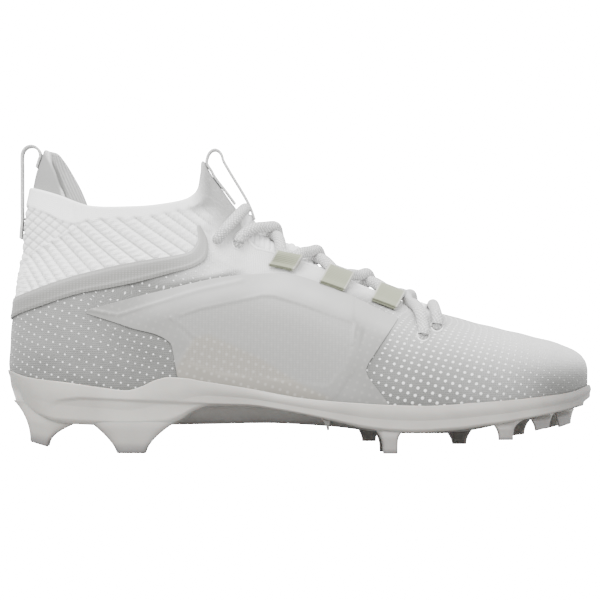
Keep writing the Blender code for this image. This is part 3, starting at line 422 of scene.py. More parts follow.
def rounded(count: int, length: float, thickness: float) -> tuple[Array, Array]:
    """Shares across a sheet with four close steps at each border, and how full the sheet is there.

    A step at angle a of a quarter turn lies 1 - cos(a) half thicknesses in, and is sin(a) full.

    Args:
        count: How many even steps between the borders.
        length: The sheet's length that way.
        thickness: Its thickness.

    Returns:
        The shares from 0 to 1, and the fullness from 0 to 1.
    """
    turn = np.radians([0.0, 25.0, 50.0, 75.0])
    border = (1 - np.cos(turn)) * thickness / 2 / length
    inner = np.linspace(thickness / 2 / length, 1 - thickness / 2 / length, count)
    shares = np.concatenate([border, inner, 1 - border[::-1]])
    fullness = np.concatenate([np.sin(turn), np.ones(count), np.sin(turn)[::-1]])
    return shares, fullness


def sheet_object(name: str, middle: Array, fullness: Array, thickness: Array | float,
                 channels: Optional[dict[str, Array]] = None, flat: Optional[Array] = None) -> bpy.types.Object:
    """A closed sheet with round borders: its middle surface, moved both ways along its normal.

    Args:
        name: The piece's name.
        middle: The grid of the middle surface, its normal outwards.
        fullness: From 0 on the border to 1, by row and column.
        thickness: The sheet's thickness.
        channels: Values by row and column.
        flat: Places on the cloth, or nothing for the walked lengths.

    Returns:
        The object.
    """
    rows, columns = middle.shape[:2]
    normal = grid_normals(middle)
    half = (fullness * thickness / 2)[..., None]
    front, back = middle + normal * half, middle - normal * half
    if flat is None:
        flat = np.stack([arc_lengths(middle, 1), arc_lengths(middle, 0)], -1)
    index = np.arange(rows * columns).reshape(rows, columns)
    under = index.copy()
    under[1:-1, 1:-1] = rows * columns + np.arange((rows - 2) * (columns - 2)).reshape(rows - 2, columns - 2)
    faces = quads(rows, columns, False).reshape(-1, 4)
    turned = under.ravel()[faces][:, ::-1]
    points = np.concatenate([front.reshape(-1, 3), back[1:-1, 1:-1].reshape(-1, 3)])
    places = np.concatenate([flat.reshape(-1, 2), flat[1:-1, 1:-1].reshape(-1, 2)])
    values = {}
    for key, value in (channels or {}).items():
        whole = value + np.zeros((rows, columns))
        values[key] = np.concatenate([whole.ravel(), whole[1:-1, 1:-1].ravel()])
    return mesh_object(name, points, faces.tolist() + turned.tolist(), places, values)


def cord_frames(path: Array) -> tuple[Array, Array]:
    """Two directions square to a path: one level, one upwards."""
    tangent = unit(np.gradient(path, axis=0))
    across = unit(np.cross(tangent, (0.0, 0.0, 1.0)))
    return across, np.cross(across, tangent)


def tube_object(name: str, path: Array, radius: float, sides: int, closed: bool = False,
                flatten: float = 1.0, up: Optional[Array] = None) -> bpy.types.Object:
    """A cord along a path: circle points cos(a) across and flatten * sin(a) up at each step.

    Args:
        name: The piece's name.
        path: The middle line.
        radius: Half the cord's width.
        sides: Points round the cord.
        closed: Whether the path comes back to its start.
        flatten: Height as a share of the width.
        up: Direction of the height at each step.

    Returns:
        The object.
    """
    if up is None:
        across, up = cord_frames(path)
    else:
        steps = unit(np.roll(path, -1, 0) - np.roll(path, 1, 0) if closed else np.gradient(path, axis=0))
        up = unit(up - steps * (up * steps).sum(1, keepdims=True))
        across = np.cross(steps, up)
    angle = -np.arange(sides) * 2 * math.pi / sides
    grid = path[:, None] + radius * np.cos(angle)[None, :, None] * across[:, None]
    grid = grid + radius * flatten * np.sin(angle)[None, :, None] * up[:, None]
    if closed:
        grid = np.concatenate([grid, grid[:1]])
    walked = arc_lengths(grid, 0)[:, :1] + np.zeros(grid.shape[:2])
    round_way = np.abs(np.arange(sides) / sides * 2 - 1) + np.zeros(grid.shape[:2])
    flat = np.stack([walked, round_way * math.pi * radius], -1)
    return grid_object(name, grid, closed=True, flat=flat, caps=not closed)


def through(points: Array, count: int) -> Array:
    """A smooth line through points: each span a cubic with slopes from the points on both sides, evenly walked.

    Args:
        points: The places to pass.
        count: How many points the line gets.

    Returns:
        The line's points.
    """
    points = np.asarray(points, float)
    knots = np.concatenate([[0], np.cumsum(np.linalg.norm(np.diff(points, axis=0), axis=1) ** 0.5)])
    slopes = np.gradient(points, knots, axis=0)
    at = np.linspace(0, knots[-1], count * 6)
    cell = np.clip(np.searchsorted(knots, at, side="right") - 1, 0, len(knots) - 2)
    width = (knots[cell + 1] - knots[cell])[:, None]
    t = ((at - knots[cell])[:, None]) / width
    line = points[cell] * (2 * t**3 - 3 * t**2 + 1) + points[cell + 1] * (3 * t**2 - 2 * t**3)
    line += slopes[cell] * width * (t**3 - 2 * t**2 + t) + slopes[cell + 1] * width * (t**3 - t**2)
    return evenly(line, count)


def line_distance(x: Array, z: Array, line: tuple[Point, ...]) -> Array:
    """Distance in the side view from places to a line of straight spans, given in millimetres."""
    best = np.full(np.shape(x), 1e9)
    for (ax, az), (bx, bz) in zip(line, line[1:]):
        dx, dz = (bx - ax) * MM, (bz - az) * MM
        t = np.clip(((x - ax * MM) * dx + (z - az * MM) * dz) / (dx * dx + dz * dz), 0, 1)
        best = np.minimum(best, np.hypot(x - ax * MM - t * dx, z - az * MM - t * dz))
    return best


def inside(x: Array, z: Array, outline: tuple[Point, ...], soft: float) -> Array:
    """1 inside an outline of the side view and 0 outside, with a soft border. The outline is in millimetres."""
    closed = outline + outline[:1]
    odd = np.zeros(np.shape(x), bool)
    for (ax, az), (bx, bz) in zip(closed, closed[1:]):
        crosses = (az * MM > z) != (bz * MM > z)
        span = bz - az if bz != az else 1e-9
        odd ^= crosses & (x < (ax + (z / MM - az) * (bx - ax) / span) * MM)
    distance = line_distance(x, z, closed) * np.where(odd, 1, -1)
    return smoothstep(-soft, soft, distance)


def height_of(x: Array, line: tuple[Point, ...]) -> Array:
    """Height of a line of the side view over a place, in metres. The line is in millimetres."""
    places = np.array(line)
    return np.interp(x, places[:, 0] * MM, places[:, 1] * MM)


class Graph:
    """A short way to write a material's nodes."""

    def __init__(self, name: str, roughness: float) -> None:
        """Starts a material with one shader and its values."""
        self.material = bpy.data.materials.new(name)
        self.material.use_nodes = True
        self.tree = self.material.node_tree
        self.shader = self.tree.nodes["Principled BSDF"]
        self.set("Roughness", roughness)

    def set(self, socket: str, value: float | tuple) -> None:
        """Sets one of the shader's own sockets."""
        self.shader.inputs[socket].default_value = value

    def link(self, source: bpy.types.NodeSocket, socket: str) -> None:
        """Joins a socket to one of the shader's."""
        self.tree.links.new(source, self.shader.inputs[socket])

    def put(self, node: bpy.types.Node, key: int | str, value: object) -> None:
        """Gives a node's input a socket or a plain value."""
        if isinstance(value, bpy.types.NodeSocket):
            self.tree.links.new(value, node.inputs[key])
        else:
            node.inputs[key].default_value = value

    def channel(self, name: str) -> bpy.types.NodeSocket:
        """A piece's own value for each point."""
        node = self.tree.nodes.new("ShaderNodeAttribute")
        node.attribute_name = name
        return node.outputs["Fac"]

    def cloth(self, scale: tuple[float, float] = (1, 1), turn: float = 0.0) -> bpy.types.NodeSocket:
        """Places on the cloth, turned by some degrees and scaled."""
        node = self.tree.nodes.new("ShaderNodeUVMap")
        node.uv_map = "cloth"
        mapping = self.tree.nodes.new("ShaderNodeMapping")
        self.put(mapping, "Vector", node.outputs["UV"])
        mapping.inputs["Rotation"].default_value = (0, 0, math.radians(turn))
        mapping.inputs["Scale"].default_value = (scale[0], scale[1], 1)
        return mapping.outputs["Vector"]

    def place(self) -> bpy.types.NodeSocket:
        """Places in the shoe."""
        return self.tree.nodes.new("ShaderNodeTexCoord").outputs["Object"]

    def math(self, kind: str, a: object, b: object = 0.0, c: object = 0.0) -> bpy.types.NodeSocket:
        """One sum of up to three values."""
        node = self.tree.nodes.new("ShaderNodeMath")
        node.operation = kind
        for key, value in enumerate((a, b, c)):
            self.put(node, key, value)
        return node.outputs[0]

    def step(self, value: object, low: float, high: float) -> bpy.types.NodeSocket:
        """0 at low and 1 at high, kept between. Low may lie above high."""
        node = self.tree.nodes.new("ShaderNodeMapRange")
        for key, number in (("Value", value), ("From Min", low), ("From Max", high)):
            self.put(node, key, number)
        return node.outputs["Result"]

    def mix(self, share: object, a: object, b: object) -> bpy.types.NodeSocket:
        """One colour turning into another."""
        node = self.tree.nodes.new("ShaderNodeMix")
        node.data_type = "RGBA"
        for key, value in ((0, share), (6, a), (7, b)):
            self.put(node, key, value if not isinstance(value, tuple) else (*value, 1.0))
        return node.outputs[2]

    def noise(self, vector: object, scale: float, detail: float = 2.0) -> bpy.types.NodeSocket:
        """Soft noise from 0 to 1."""
        node = self.tree.nodes.new("ShaderNodeTexNoise")
        self.put(node, "Vector", vector)
        self.put(node, "Scale", scale)
        self.put(node, "Detail", detail)
        return node.outputs[0]

    def printed_dots(self) -> bpy.types.NodeSocket:
        """Distance to the nearest dot of the mesh's even print, in pitches."""
        node = self.tree.nodes.new("ShaderNodeTexVoronoi")
        node.voronoi_dimensions = "2D"
        self.put(node, "Vector", self.cloth((1 / DOT_PITCH, 1 / DOT_PITCH), DOT_TURN))
        self.put(node, "Scale", 1.0)
        self.put(node, "Randomness", 0.0)
        return node.outputs["Distance"]

    def waves(self, pitch: float, axis: str, turn: float = 0.0) -> bpy.types.NodeSocket:
        """Even waves across one axis of the cloth, turned by some degrees, from 0 to 1."""
        node = self.tree.nodes.new("ShaderNodeTexWave")
        node.bands_direction = axis
        self.put(node, "Vector", self.cloth((1, 1), turn))
        self.put(node, "Scale", WAVE / pitch)
        return node.outputs["Fac"]

    def bump(self, height: object, distance: float, strength: float = 1.0) -> None:
        """Lets a height tilt the shader's normal."""
        node = self.tree.nodes.new("ShaderNodeBump")
        self.put(node, "Height", height)
        self.put(node, "Distance", distance)
        self.put(node, "Strength", strength)
        self.link(node.outputs["Normal"], "Normal")


@dataclass(frozen=True)
class Knit:
    """The bootie's knit: heathered, with pale dots, and with painted shade in its grooves and hollows."""

    dark: tuple = (0.105, 0.105, 0.100)
    light: tuple = (0.97, 0.97, 0.96)
    # dark colour of the painted shade in grooves, also used for the heather flecks
    painted_shade: tuple = (0.10, 0.10, 0.095)
    dot: tuple = (0.90, 0.90, 0.89)
    roughness: float = 0.88
    stitch: Point = (0.0011, 0.0009)
    bump: float = 0.00022

    def make(self) -> bpy.types.Material:
        """Mixes the cloth's shade, fleck, painted groove shade and dots, and raises the stitches and dots."""
        g = Graph("knit", self.roughness)
        g.set("Sheen Weight", 0.25)
        g.set("Sheen Roughness", 0.5)
        cloth = g.cloth()
        base = g.mix(g.channel("shade"), self.dark, self.light)
        fleck = g.noise(cloth, 1100.0, 2.0)
        wide = g.noise(cloth, 330.0, 1.0)
        grain = g.math("MULTIPLY", g.step(g.math("MULTIPLY_ADD", wide, 0.4, fleck), 0.45, 0.95), g.channel("fleck"))
        # heather flecks, in the same dark colour as the painted groove shade
        base = g.mix(grain, base, self.painted_shade)
        # painted shade: a channel darkens the grooves and hollows, where shade falls
        base = g.mix(g.channel("painted_shade"), base, self.painted_shade)
        dots = g.math("MULTIPLY", g.math("SUBTRACT", g.channel("dots"), g.printed_dots()), 9.0)
        dots = g.math("MINIMUM", g.math("MAXIMUM", dots, 0.0), 1.0)
        dots = g.math("MULTIPLY", dots, g.channel("dot_light"))
        g.link(g.mix(dots, base, self.dot), "Base Color")
        height = g.math("MULTIPLY", g.waves(self.stitch[0], "X"), g.waves(self.stitch[1], "Y"))
        height = g.math("MULTIPLY_ADD", fleck, 0.8, height)
        height = g.math("MULTIPLY", height, g.channel("stitch"))
        height = g.math("MULTIPLY_ADD", dots, 2.2, height)
        g.bump(height, self.bump, 0.8)
        return g.material


@dataclass(frozen=True)
class Film:
    """Frosted film: smooth and faintly glossy, warmer where it lies on bare mesh, dots faint beneath."""

    shade_low: tuple = (0.132, 0.130, 0.122)
    shade_high: tuple = (0.48, 0.48, 0.47)
    warm: tuple = (0.225, 0.207, 0.175)
    dot: tuple = (0.42, 0.41, 0.385)
    thread: tuple = (0.42, 0.42, 0.415)
    cloud: tuple = (0.16, 0.158, 0.15)
    roughness: float = 0.42
    net: Point = (0.0016, 0.0011)
    bump: float = 0.0001

    def make(self) -> bpy.types.Material:
        """Mixes the film's shade and warmth, with threads and dots showing through."""
        g = Graph("frosted film", self.roughness)
        g.set("Specular IOR Level", 0.35)
        g.set("Coat Weight", 0.15)
        g.set("Coat Roughness", 0.25)
        place = g.place()
        base = g.mix(g.channel("shade"), self.shade_low, self.shade_high)
        base = g.mix(g.channel("warm"), base, self.warm)
        dots = g.math("MULTIPLY", g.step(g.printed_dots(), 0.26, 0.10), g.channel("dots"))
        base = g.mix(dots, base, self.dot)
        crossed = g.math("MULTIPLY", g.waves(self.net[0], "X"), g.waves(self.net[1], "Y"))
        net = g.math("MULTIPLY", crossed, g.channel("net"))
        base = g.mix(net, base, self.thread)
        cloud = g.step(g.noise(place, 60.0, 2.0), 0.30, 0.75)
        base = g.mix(g.math("MULTIPLY", cloud, 0.10), base, self.cloud)
        g.link(base, "Base Color")
        g.bump(g.math("MULTIPLY_ADD", g.noise(place, 900.0, 2.0), 0.4, net), self.bump, 0.35)
        return g.material


@dataclass(frozen=True)
class Woven:
    """Woven or braided cloth: two sets of waves crossing, flecked, darker between its threads, and darkened where a
    piece paints shade on it.
    """

    name: str
    light: tuple
    dark: tuple
    along: float
    across: float
    turn: float = 0.0
    roughness: float = 0.8
    depth: float = 0.00012

    def make(self) -> bpy.types.Material:
        """Crosses waves along and across the cloth and darkens the gaps between its threads."""
        g = Graph(self.name, self.roughness)
        g.set("Sheen Weight", 0.2)
        weave = g.math("MULTIPLY", g.waves(self.along, "X", self.turn), g.waves(self.across, "Y", self.turn))
        fleck = g.noise(g.cloth(), 900.0, 2.0)
        gap = g.math("MULTIPLY_ADD", fleck, 0.5, g.math("MULTIPLY", weave, -0.5))
        base = g.mix(g.step(gap, -0.25, 0.45), self.light, self.dark)
        # painted shade: the piece's own channel darkens it towards the dark colour
        g.link(g.mix(g.channel("painted_shade"), base, self.dark), "Base Color")
        g.bump(g.math("MULTIPLY_ADD", fleck, 0.3, weave), self.depth, 0.7)
        return g.material


@dataclass(frozen=True)
class Moulded:
    """The plate's satin plastic: cloudy, a little see-through, duller and darker by its tip channel, which paints shade
    at the stud tips and in the arch's hollow and darkens the toe.
    """

    clear: tuple = (0.38, 0.367, 0.338)
    cloudy: tuple = (0.32, 0.306, 0.280)
    shade_and_tone: tuple = (0.09, 0.085, 0.087)
    bump: float = 0.00004

    def make(self) -> bpy.types.Material:
        """Clouds the colour, paints shade at the stud tips and in the arch's hollow, darkens the toe and lays a faint
        grain on the surface.
        """
        g = Graph("moulded plate", 0.34)
        g.set("Specular IOR Level", 0.45)
        g.set("Coat Weight", 0.25)
        g.set("Coat Roughness", 0.18)
        g.set("Subsurface Weight", 0.12)
        g.set("Subsurface Scale", 0.004)
        place = g.place()
        base = g.mix(g.step(g.noise(place, 38.0, 3.0), 0.35, 0.68), self.clear, self.cloudy)
        # painted shade: the tip channel darkens the stud tips and the arch's hollow; it also darkens the toe
        base = g.mix(g.channel("tip"), base, self.shade_and_tone)
        g.link(base, "Base Color")
        rough = g.math("MULTIPLY_ADD", g.noise(place, 220.0, 3.0), 0.14, 0.27)
        g.link(g.math("MULTIPLY_ADD", g.channel("tip"), 0.25, rough), "Roughness")
        g.bump(g.noise(place, 1500.0, 2.0), self.bump, 0.35)
        return g.material


def dress(piece: bpy.types.Object, material: bpy.types.Material, slot: str, *nodes: str) -> bpy.types.Object:
    """Gives a piece its material, makes it ride on the shoe and stand for its CAD nodes.

    Args:
        piece: The piece.
        material: Its material.
        slot: The record's material slot; not used.
        nodes: The CAD nodes that it replaces.

    Returns:
        The piece.
    """
    piece.data.materials.append(material)
    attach(piece, "root")
    if nodes:
        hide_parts(*nodes)
    LOG.info("%s: %d faces", piece.name, len(piece.data.polygons))
    return piece


def joined(name: str, pieces: list[bpy.types.Object]) -> bpy.types.Object:
    """One object from several, under a new name."""
    with bpy.context.temp_override(active_object=pieces[0], selected_editable_objects=pieces):
        bpy.ops.object.join()
    pieces[0].name = pieces[0].data.name = name
    return pieces[0]


def upper_row(share: float, columns: int) -> Array:
    """One ring of the upper, a share of the way from the rim to the collar, evenly walked on each side.

    Its height goes straight from the heel to the front, plus the rim's bow that fades and the collar's that grows.

    Args:
        share: 0 at the rim and 1 at the collar. Below 0 it goes down to the plate's floor at -1.
        columns: Points on each side.

    Returns:
        The ring's points, the outer side first.
    """
    shares = (1 - np.cos(np.linspace(0, math.pi, 900))) / 2

    def between(back: Array, front: Array) -> Array:
        """Places from the heel's back at one height to the front line at another."""
        return BACK.at(back) + (RIDGE.at(front) - BACK.at(back)) * shares

    def under_rim(x: Array) -> Array:
        """Heights between the rim and the plate's floor."""
        return RIM.at(x) + (RIM.at(x) - FLOOR.at(x) - FLOOR_GAP) * share

    if share <= 0:
        z = under_rim(LENGTH * (BACK.rows[1][1] + (RIDGE.rows[2][1] - BACK.rows[1][1]) * shares))
        x = between(z, z)
        z = under_rim(x)
    else:
        back_low, front_low = float(RIM.at(-LENGTH / 2)), float(RIM.at(LENGTH / 2))
        ridge_z = np.linspace(front_low, TAB_HEIGHT, 400)
        run = np.concatenate([[0], np.cumsum(np.hypot(np.diff(RIDGE.at(ridge_z)), np.diff(ridge_z)))])
        back_high = COLLAR.rows[0][1] * COLLAR_HEIGHT
        low_bow = RIM.at(between(back_low, front_low)) - (back_low + (front_low - back_low) * shares)
        high_bow = COLLAR.at(between(back_high, TAB_HEIGHT)) - (back_high + (TAB_HEIGHT - back_high) * shares)
        back_z = back_low + (back_high - back_low) * share
        front_z = float(np.interp(share * run[-1], run, ridge_z))
        z = back_z + (front_z - back_z) * shares + low_bow * (1 - share) ** BOW_FADE + high_bow * share**3
        x = between(z, z) if front_z <= LAST.cut else between(back_z, front_z)
    half = LAST.half_width(x, z)
    half[0] = half[-1] = 0
    sides = []
    for side in Side:
        line = np.stack([x, LAST.centre(x) + side.value * half, z], 1)
        sides.append(evenly(line, columns + 1))
    return np.concatenate([sides[0], sides[1][-2:0:-1]])


GROOVES = (
    ((-136.9, 88.2), (-132.9, 80.9)), ((-136.5, 94.5), (-129.4, 82.3)), ((-133.4, 96.9), (-125.3, 84.7)),
    ((-130.6, 100.0), (-121.5, 86.1)), ((-126.8, 102.1), (-114.6, 87.5)), ((-122.6, 103.9), (-109.0, 88.9)),
    ((-118.8, 106.6), (-102.4, 90.2)), ((-114.7, 109.4), (-96.2, 92.0)), ((-109.8, 111.8), (-88.9, 93.7)),
    ((-102.9, 113.2), (-81.6, 95.4)), ((-96.3, 114.2), (-73.3, 97.2)), ((-89.0, 114.9), (-66.0, 98.9)),
    ((-81.7, 116.7), (-58.4, 101.0)), ((-74.1, 117.3), (-55.0, 105.2)), ((-66.1, 118.7), (-54.6, 110.3)),
    ((-59.2, 120.1), (-54.3, 114.8)),
)
CUFF_LOW = (
    (-139.0, 125.4), (-133.7, 122.2), (-125.8, 119.0), (-118.3, 115.3), (-111.9, 113.3), (-104.5, 115.6),
    (-88.7, 116.4), (-75.3, 117.0), (-63.9, 119.8), (-54.1, 122.2), (-49.0, 123.9), (-40.0, 134.4),
)
FOLDS = (
    (((-52, 84), (-38, 97), (-33, 112)), 0.0007, 0.0040),
    (((-46, 80), (-30, 92), (-24, 104)), 0.0005, 0.0035),
    (((66, 56), (76, 44), (84, 34)), 0.0004, 0.0050),
    (((-128, 40), (-118, 46), (-104, 44)), 0.0004, 0.0050),
)
SEAM = ((-140.0, 95.6), (-136.4, 97.5), (-123.3, 104.7), (-110.4, 111.9))
BAND_TOP = (
    (-136.9, 79.1), (-115.2, 86.5), (-98.4, 91.0), (-82.6, 94.4), (-60.9, 97.9), (-54.0, 99.9), (-50.5, 105.3),
    (-51.0, 112.7),
)
BAND_LOW = (
    (-141.2, 68.2), (-127.9, 72.7), (-109.2, 78.6), (-93.4, 81.6), (-79.6, 84.5), (-63.8, 88.7), (-51.4, 92.4),
    (-46.5, 96.3), (-45.3, 101.8), (-46.0, 106.2), (-49.2, 112.6),
)
FILM_TOP = (
    (-105.5, 71.6), (-71.0, 80.5), (-28.7, 88.8), (-18.4, 89.4), (-11.0, 89.1), (21.5, 80.0), (48.6, 67.2),
)


@dataclass
class Bootie:
    """The knit and mesh bootie: its outside, its inside and the edge of its throat."""

    columns: int = 280
    rows: int = 146
    wall: float = 0.0020
    roll: float = 0.0010
    groove_depth: float = 0.0011
    groove_width: float = 0.20
    net_pitch: float = 0.0050
    net_width: float = 0.30
    net_depth: float = 0.00070
    knot_pitch: float = 0.0026
    knot_depth: float = 0.00026
    seam_height: float = 0.0005
    seam_width: float = 0.0010
    cuff_height: float = 0.0005
    ripple: float = 0.0002
    cuff_end: Point = (-0.055, -0.044)
    ankle_front: float = -0.050
    ankle_lean: float = 0.35
    ankle_level: float = 0.096
    patch_end: Point = (-0.111, -0.109)
    near_throat: Point = (0.004, 0.020)
    tab_start: Point = (-0.050, -0.042)
    tab_rise: Point = (0.085, 0.098)
    tab_dark: Point = (0.106, 0.122)
    instep_start: Point = (-0.078, -0.034)
    instep_end: Point = (0.022, 0.036)
    front_start: Point = (0.030, 0.050)
    toe_start: Point = (0.100, 0.132)
    toe_top: Point = (0.034, 0.047)
    edge_radius: float = 0.0011
    eyelet_rim: float = 0.0006
    throat_back: float = -0.021
    throat_front: float = 0.0585
    throat_back_half: float = 0.0165
    throat_front_half: float = 0.0095
    throat_round: float = 0.6
    eyelet: float = 0.0026
    holes: tuple[Point, ...] = ((-0.139, 0.728), (-0.104, 0.714), (0.208, 0.400), (0.232, 0.432))

    def hole_places(self) -> list[Point]:
        """Places of the lace holes in the side view, in metres."""
        return [(along * LENGTH, high * TAB_HEIGHT) for along, high in self.holes]

    def throat_half(self, x: Array) -> Array:
        """Half width of the throat, which narrows evenly to the toe."""
        t = np.clip((x - self.throat_back) / (self.throat_front - self.throat_back), 0, 1)
        return self.throat_back_half + (self.throat_front_half - self.throat_back_half) * t

    def throat_distance(self, x: Array, y: Array) -> Array:
        """Distance outside the throat's edge in plan: beyond the straight sides or the elliptical ends."""
        half = self.throat_half(x)
        beyond = np.maximum(self.throat_back - x, 0) + np.maximum(x - self.throat_front, 0)
        off = y - LAST.centre(np.clip(x, self.throat_back, self.throat_front))
        return np.hypot(beyond / self.throat_round, off) - half

    def throat_line(self, count: int, out: float) -> Array:
        """The throat's edge in plan, moved outwards: two straight sides and two half ellipses, evenly walked.

        Args:
            count: Points round the edge.
            out: Distance outwards.

        Returns:
            Places in plan.
        """
        front, back = np.radians(np.linspace(-90, 90, 60)), np.radians(np.linspace(90, 270, 60))
        wide, narrow = self.throat_back_half + out, self.throat_front_half + out
        ahead = np.stack([self.throat_front + narrow * self.throat_round * np.cos(front), narrow * np.sin(front)], 1)
        behind = np.stack([self.throat_back + wide * self.throat_round * np.cos(back), wide * np.sin(back)], 1)
        line = np.concatenate([ahead, behind, ahead[:1]])
        line[:, 1] += LAST.centre(np.clip(line[:, 0], self.throat_back, self.throat_front))
        return evenly(line, count, False)

    def rib_phase(self, x: Array, z: Array) -> Array:
        """A smooth field that passes each whole number on one groove: a cubic in x and z fitted to their lines."""
        def terms(a: Array, b: Array) -> Array:
            """All products of powers up to the third."""
            a, b = (a + 95) / 40, (b - 95) / 20
            return np.stack([a**i * b**j for i in range(4) for j in range(4 - i)], -1)

        share = np.linspace(0, 1, 9)
        places = np.concatenate([np.stack([np.interp(share, (0, 1), (p[0], q[0])),
                                           np.interp(share, (0, 1), (p[1], q[1]))], 1) for p, q in GROOVES])
        numbers = np.repeat(np.arange(len(GROOVES)), 9)
        weights = np.linalg.lstsq(terms(places[:, 0], places[:, 1]), numbers, rcond=None)[0]
        return terms(x / MM, z / MM) @ weights

    def regions(self, x: Array, z: Array, y: Array) -> dict[str, Array]:
        """Shares of each cloth at places of the shoe's surface, each from 0 to 1.

        Args:
            x: Places along.
            z: Heights.
            y: Places across.

        Returns:
            Shares by the cloth's name.
        """
        cuff = smoothstep(-0.0007, 0.0007, z - height_of(x, CUFF_LOW)) * (1 - smoothstep(*self.cuff_end, x))
        band = height_of(x, BAND_TOP[:6]) - 0.004
        fore = self.ankle_front + self.ankle_lean * (z - self.ankle_level)
        ankle = smoothstep(-0.001, 0.001, z - band) * (1 - smoothstep(-0.006, 0.005, x - fore)) * (1 - cuff)
        ankle = ankle * (1 - smoothstep(0.117, 0.124, z) * smoothstep(-0.062, -0.050, x))
        patch = smoothstep(-0.0005, 0.0005, z - height_of(x, SEAM)) * (1 - smoothstep(*self.patch_end, x)) * (1 - cuff)
        rest = (1 - ankle) * (1 - cuff)
        throat = self.throat_distance(x, y)
        instep = smoothstep(0.0, 0.004, z - height_of(x, FILM_TOP))
        near = 1 - smoothstep(*self.near_throat, throat)
        tab = smoothstep(*self.tab_start, x) * smoothstep(*self.tab_rise, z)
        plain = np.maximum(np.maximum(near, tab) * smoothstep(-0.066, -0.050, x),
                           instep * smoothstep(*self.instep_start, x) * (1 - smoothstep(*self.instep_end, x)) * 0.9)
        toe = smoothstep(*self.toe_start, x) * (1 - smoothstep(*self.toe_top, z))
        return {"cuff": cuff, "ankle": ankle * (1 - patch), "patch": patch, "rest": rest,
                "plain": plain * rest, "toe": toe * rest, "throat": throat}

    def looks(self, x: Array, z: Array, y: Array) -> tuple[Array, dict[str, Array]]:
        """The relief of the cloth and the values that its material reads.

        Args:
            x: Places along.
            z: Heights.
            y: Places across.

        Returns:
            The distance outwards, and values by name.
        """
        area = self.regions(x, z, y)
        phase = self.rib_phase(x, z)
        wave = np.abs(np.sin(math.pi * phase))
        ribs = area["ankle"] * smoothstep(-0.139, -0.134, x)
        # share of painted shade along the rib grooves
        painted_shade = ribs * bell(wave, self.groove_width)
        relief = -self.groove_depth * ribs * (1 - wave**0.7)
        slant = np.sin((x * 0.8 + z * 1.1) * math.pi / self.net_pitch)
        back = np.sin((x * 0.9 - z) * math.pi / self.net_pitch)
        net = np.maximum(bell(slant, self.net_width), bell(back, self.net_width))
        relief -= area["patch"] * self.net_depth * net
        knots = np.sin((x * 0.35 - z * 0.94) * 2 * math.pi / self.knot_pitch + 2.5 * np.sin(phase * math.pi))
        relief += area["ankle"] * self.knot_depth * knots * wave
        relief += self.seam_height * bell(line_distance(x, z, SEAM), self.seam_width) * (1 - area["cuff"])
        relief += self.cuff_height * area["cuff"] * (1 - smoothstep(0, 0.012, z - COLLAR.at(x) + 0.014))
        relief += self.ripple * np.sin(x * 310 + z * 130) * np.sin(z * 240 - x * 90) * area["rest"]
        relief -= sum(depth * bell(line_distance(x, z, line), width) for line, depth, width in FOLDS)
        mesh = area["rest"] * (1 - area["plain"])
        front = smoothstep(*self.front_start, x)
        size = (0.165 + 0.085 * front * (1 - smoothstep(0.085, 0.125, x))) * (1 - 0.40 * smoothstep(0.105, 0.135, x))
        fade = smoothstep(0.004, 0.018, area["throat"]) * (1 - 0.25 * smoothstep(0.118, 0.142, x))
        low = smoothstep(0.0, 0.020, z - RIM.at(x))
        shade = 0.04 + 0.07 * low * (1 - smoothstep(-0.110, -0.070, x)) + 0.06 * front * low
        shade = shade * mesh + 0.74 * area["plain"] + 1.00 * area["cuff"] + 1.00 * area["ankle"] + 0.95 * area["patch"]
        rise = smoothstep(0.30, 0.95, (z - RIM.at(x)) / np.maximum(LAST.ridge(x) - RIM.at(x), 0.001))
        shade = shade + front * mesh * (0.15 * smoothstep(0.06, 0.11, x) + 0.33 * rise)
        tab = smoothstep(*self.tab_dark, z)
        shade = shade * (1 - 0.90 * area["toe"]) - 0.45 * area["plain"] * tab
        values = {
            "shade": np.clip(shade, 0, 1),
            # painted shade: darker in the rib grooves, in the hollows between the knots and in the patch's net grooves
            "painted_shade": np.clip(painted_shade * 0.62 + area["ankle"] * 0.08 * (knots < -0.3) + area["patch"] * 0.40 * net, 0, 1),
            "fleck": (0.10 * area["ankle"] + 0.09 * area["cuff"] + (0.14 + 0.45 * tab) * area["plain"] + 0.25 * mesh
                      + 0.15 * area["patch"]),
            "dots": size,
            "dot_light": fade * (mesh + 0.5 * area["plain"] * (1 - front)) * (0.95 - 0.05 * front),
            "stitch": (0.8 * area["ankle"] + 0.45 * area["cuff"] + 0.55 * area["plain"] + 0.9 * mesh
                       + 0.4 * area["patch"]),
        }
        return relief, values

    def grid(self, rows: Array, columns: int) -> tuple[Array, Array]:
        """Rings at shares of the height, and their places on the cloth.

        u is walked along each ring, level with x at one place. v adds up the distances between rings.

        Args:
            rows: Shares from -1 at the floor to 1 at the collar.
            columns: Points on each side.

        Returns:
            The grid and its flat places.
        """
        grid = np.array([upper_row(float(share), columns) for share in rows])
        half = columns + 1
        walked = arc_lengths(grid[:, :half], 1)
        level = np.array([np.interp(-0.06, line[:, 0], run) for line, run in zip(grid[:, :half], walked)])
        u = walked - level[:, None] - 0.06
        u = np.concatenate([u, u[:, -2:0:-1]], 1)
        around = unit(np.roll(grid, -1, 1) - np.roll(grid, 1, 1))
        gap = np.linalg.norm(np.cross(np.diff(grid, axis=0), around[:-1]), axis=2)
        v = np.concatenate([np.zeros((1, grid.shape[1])), np.cumsum(gap, 0)])
        base = int(np.argmin(np.abs(rows)))
        v = v - v[base] + grid[base, :, 2]
        return grid, np.stack([u, v], -1)

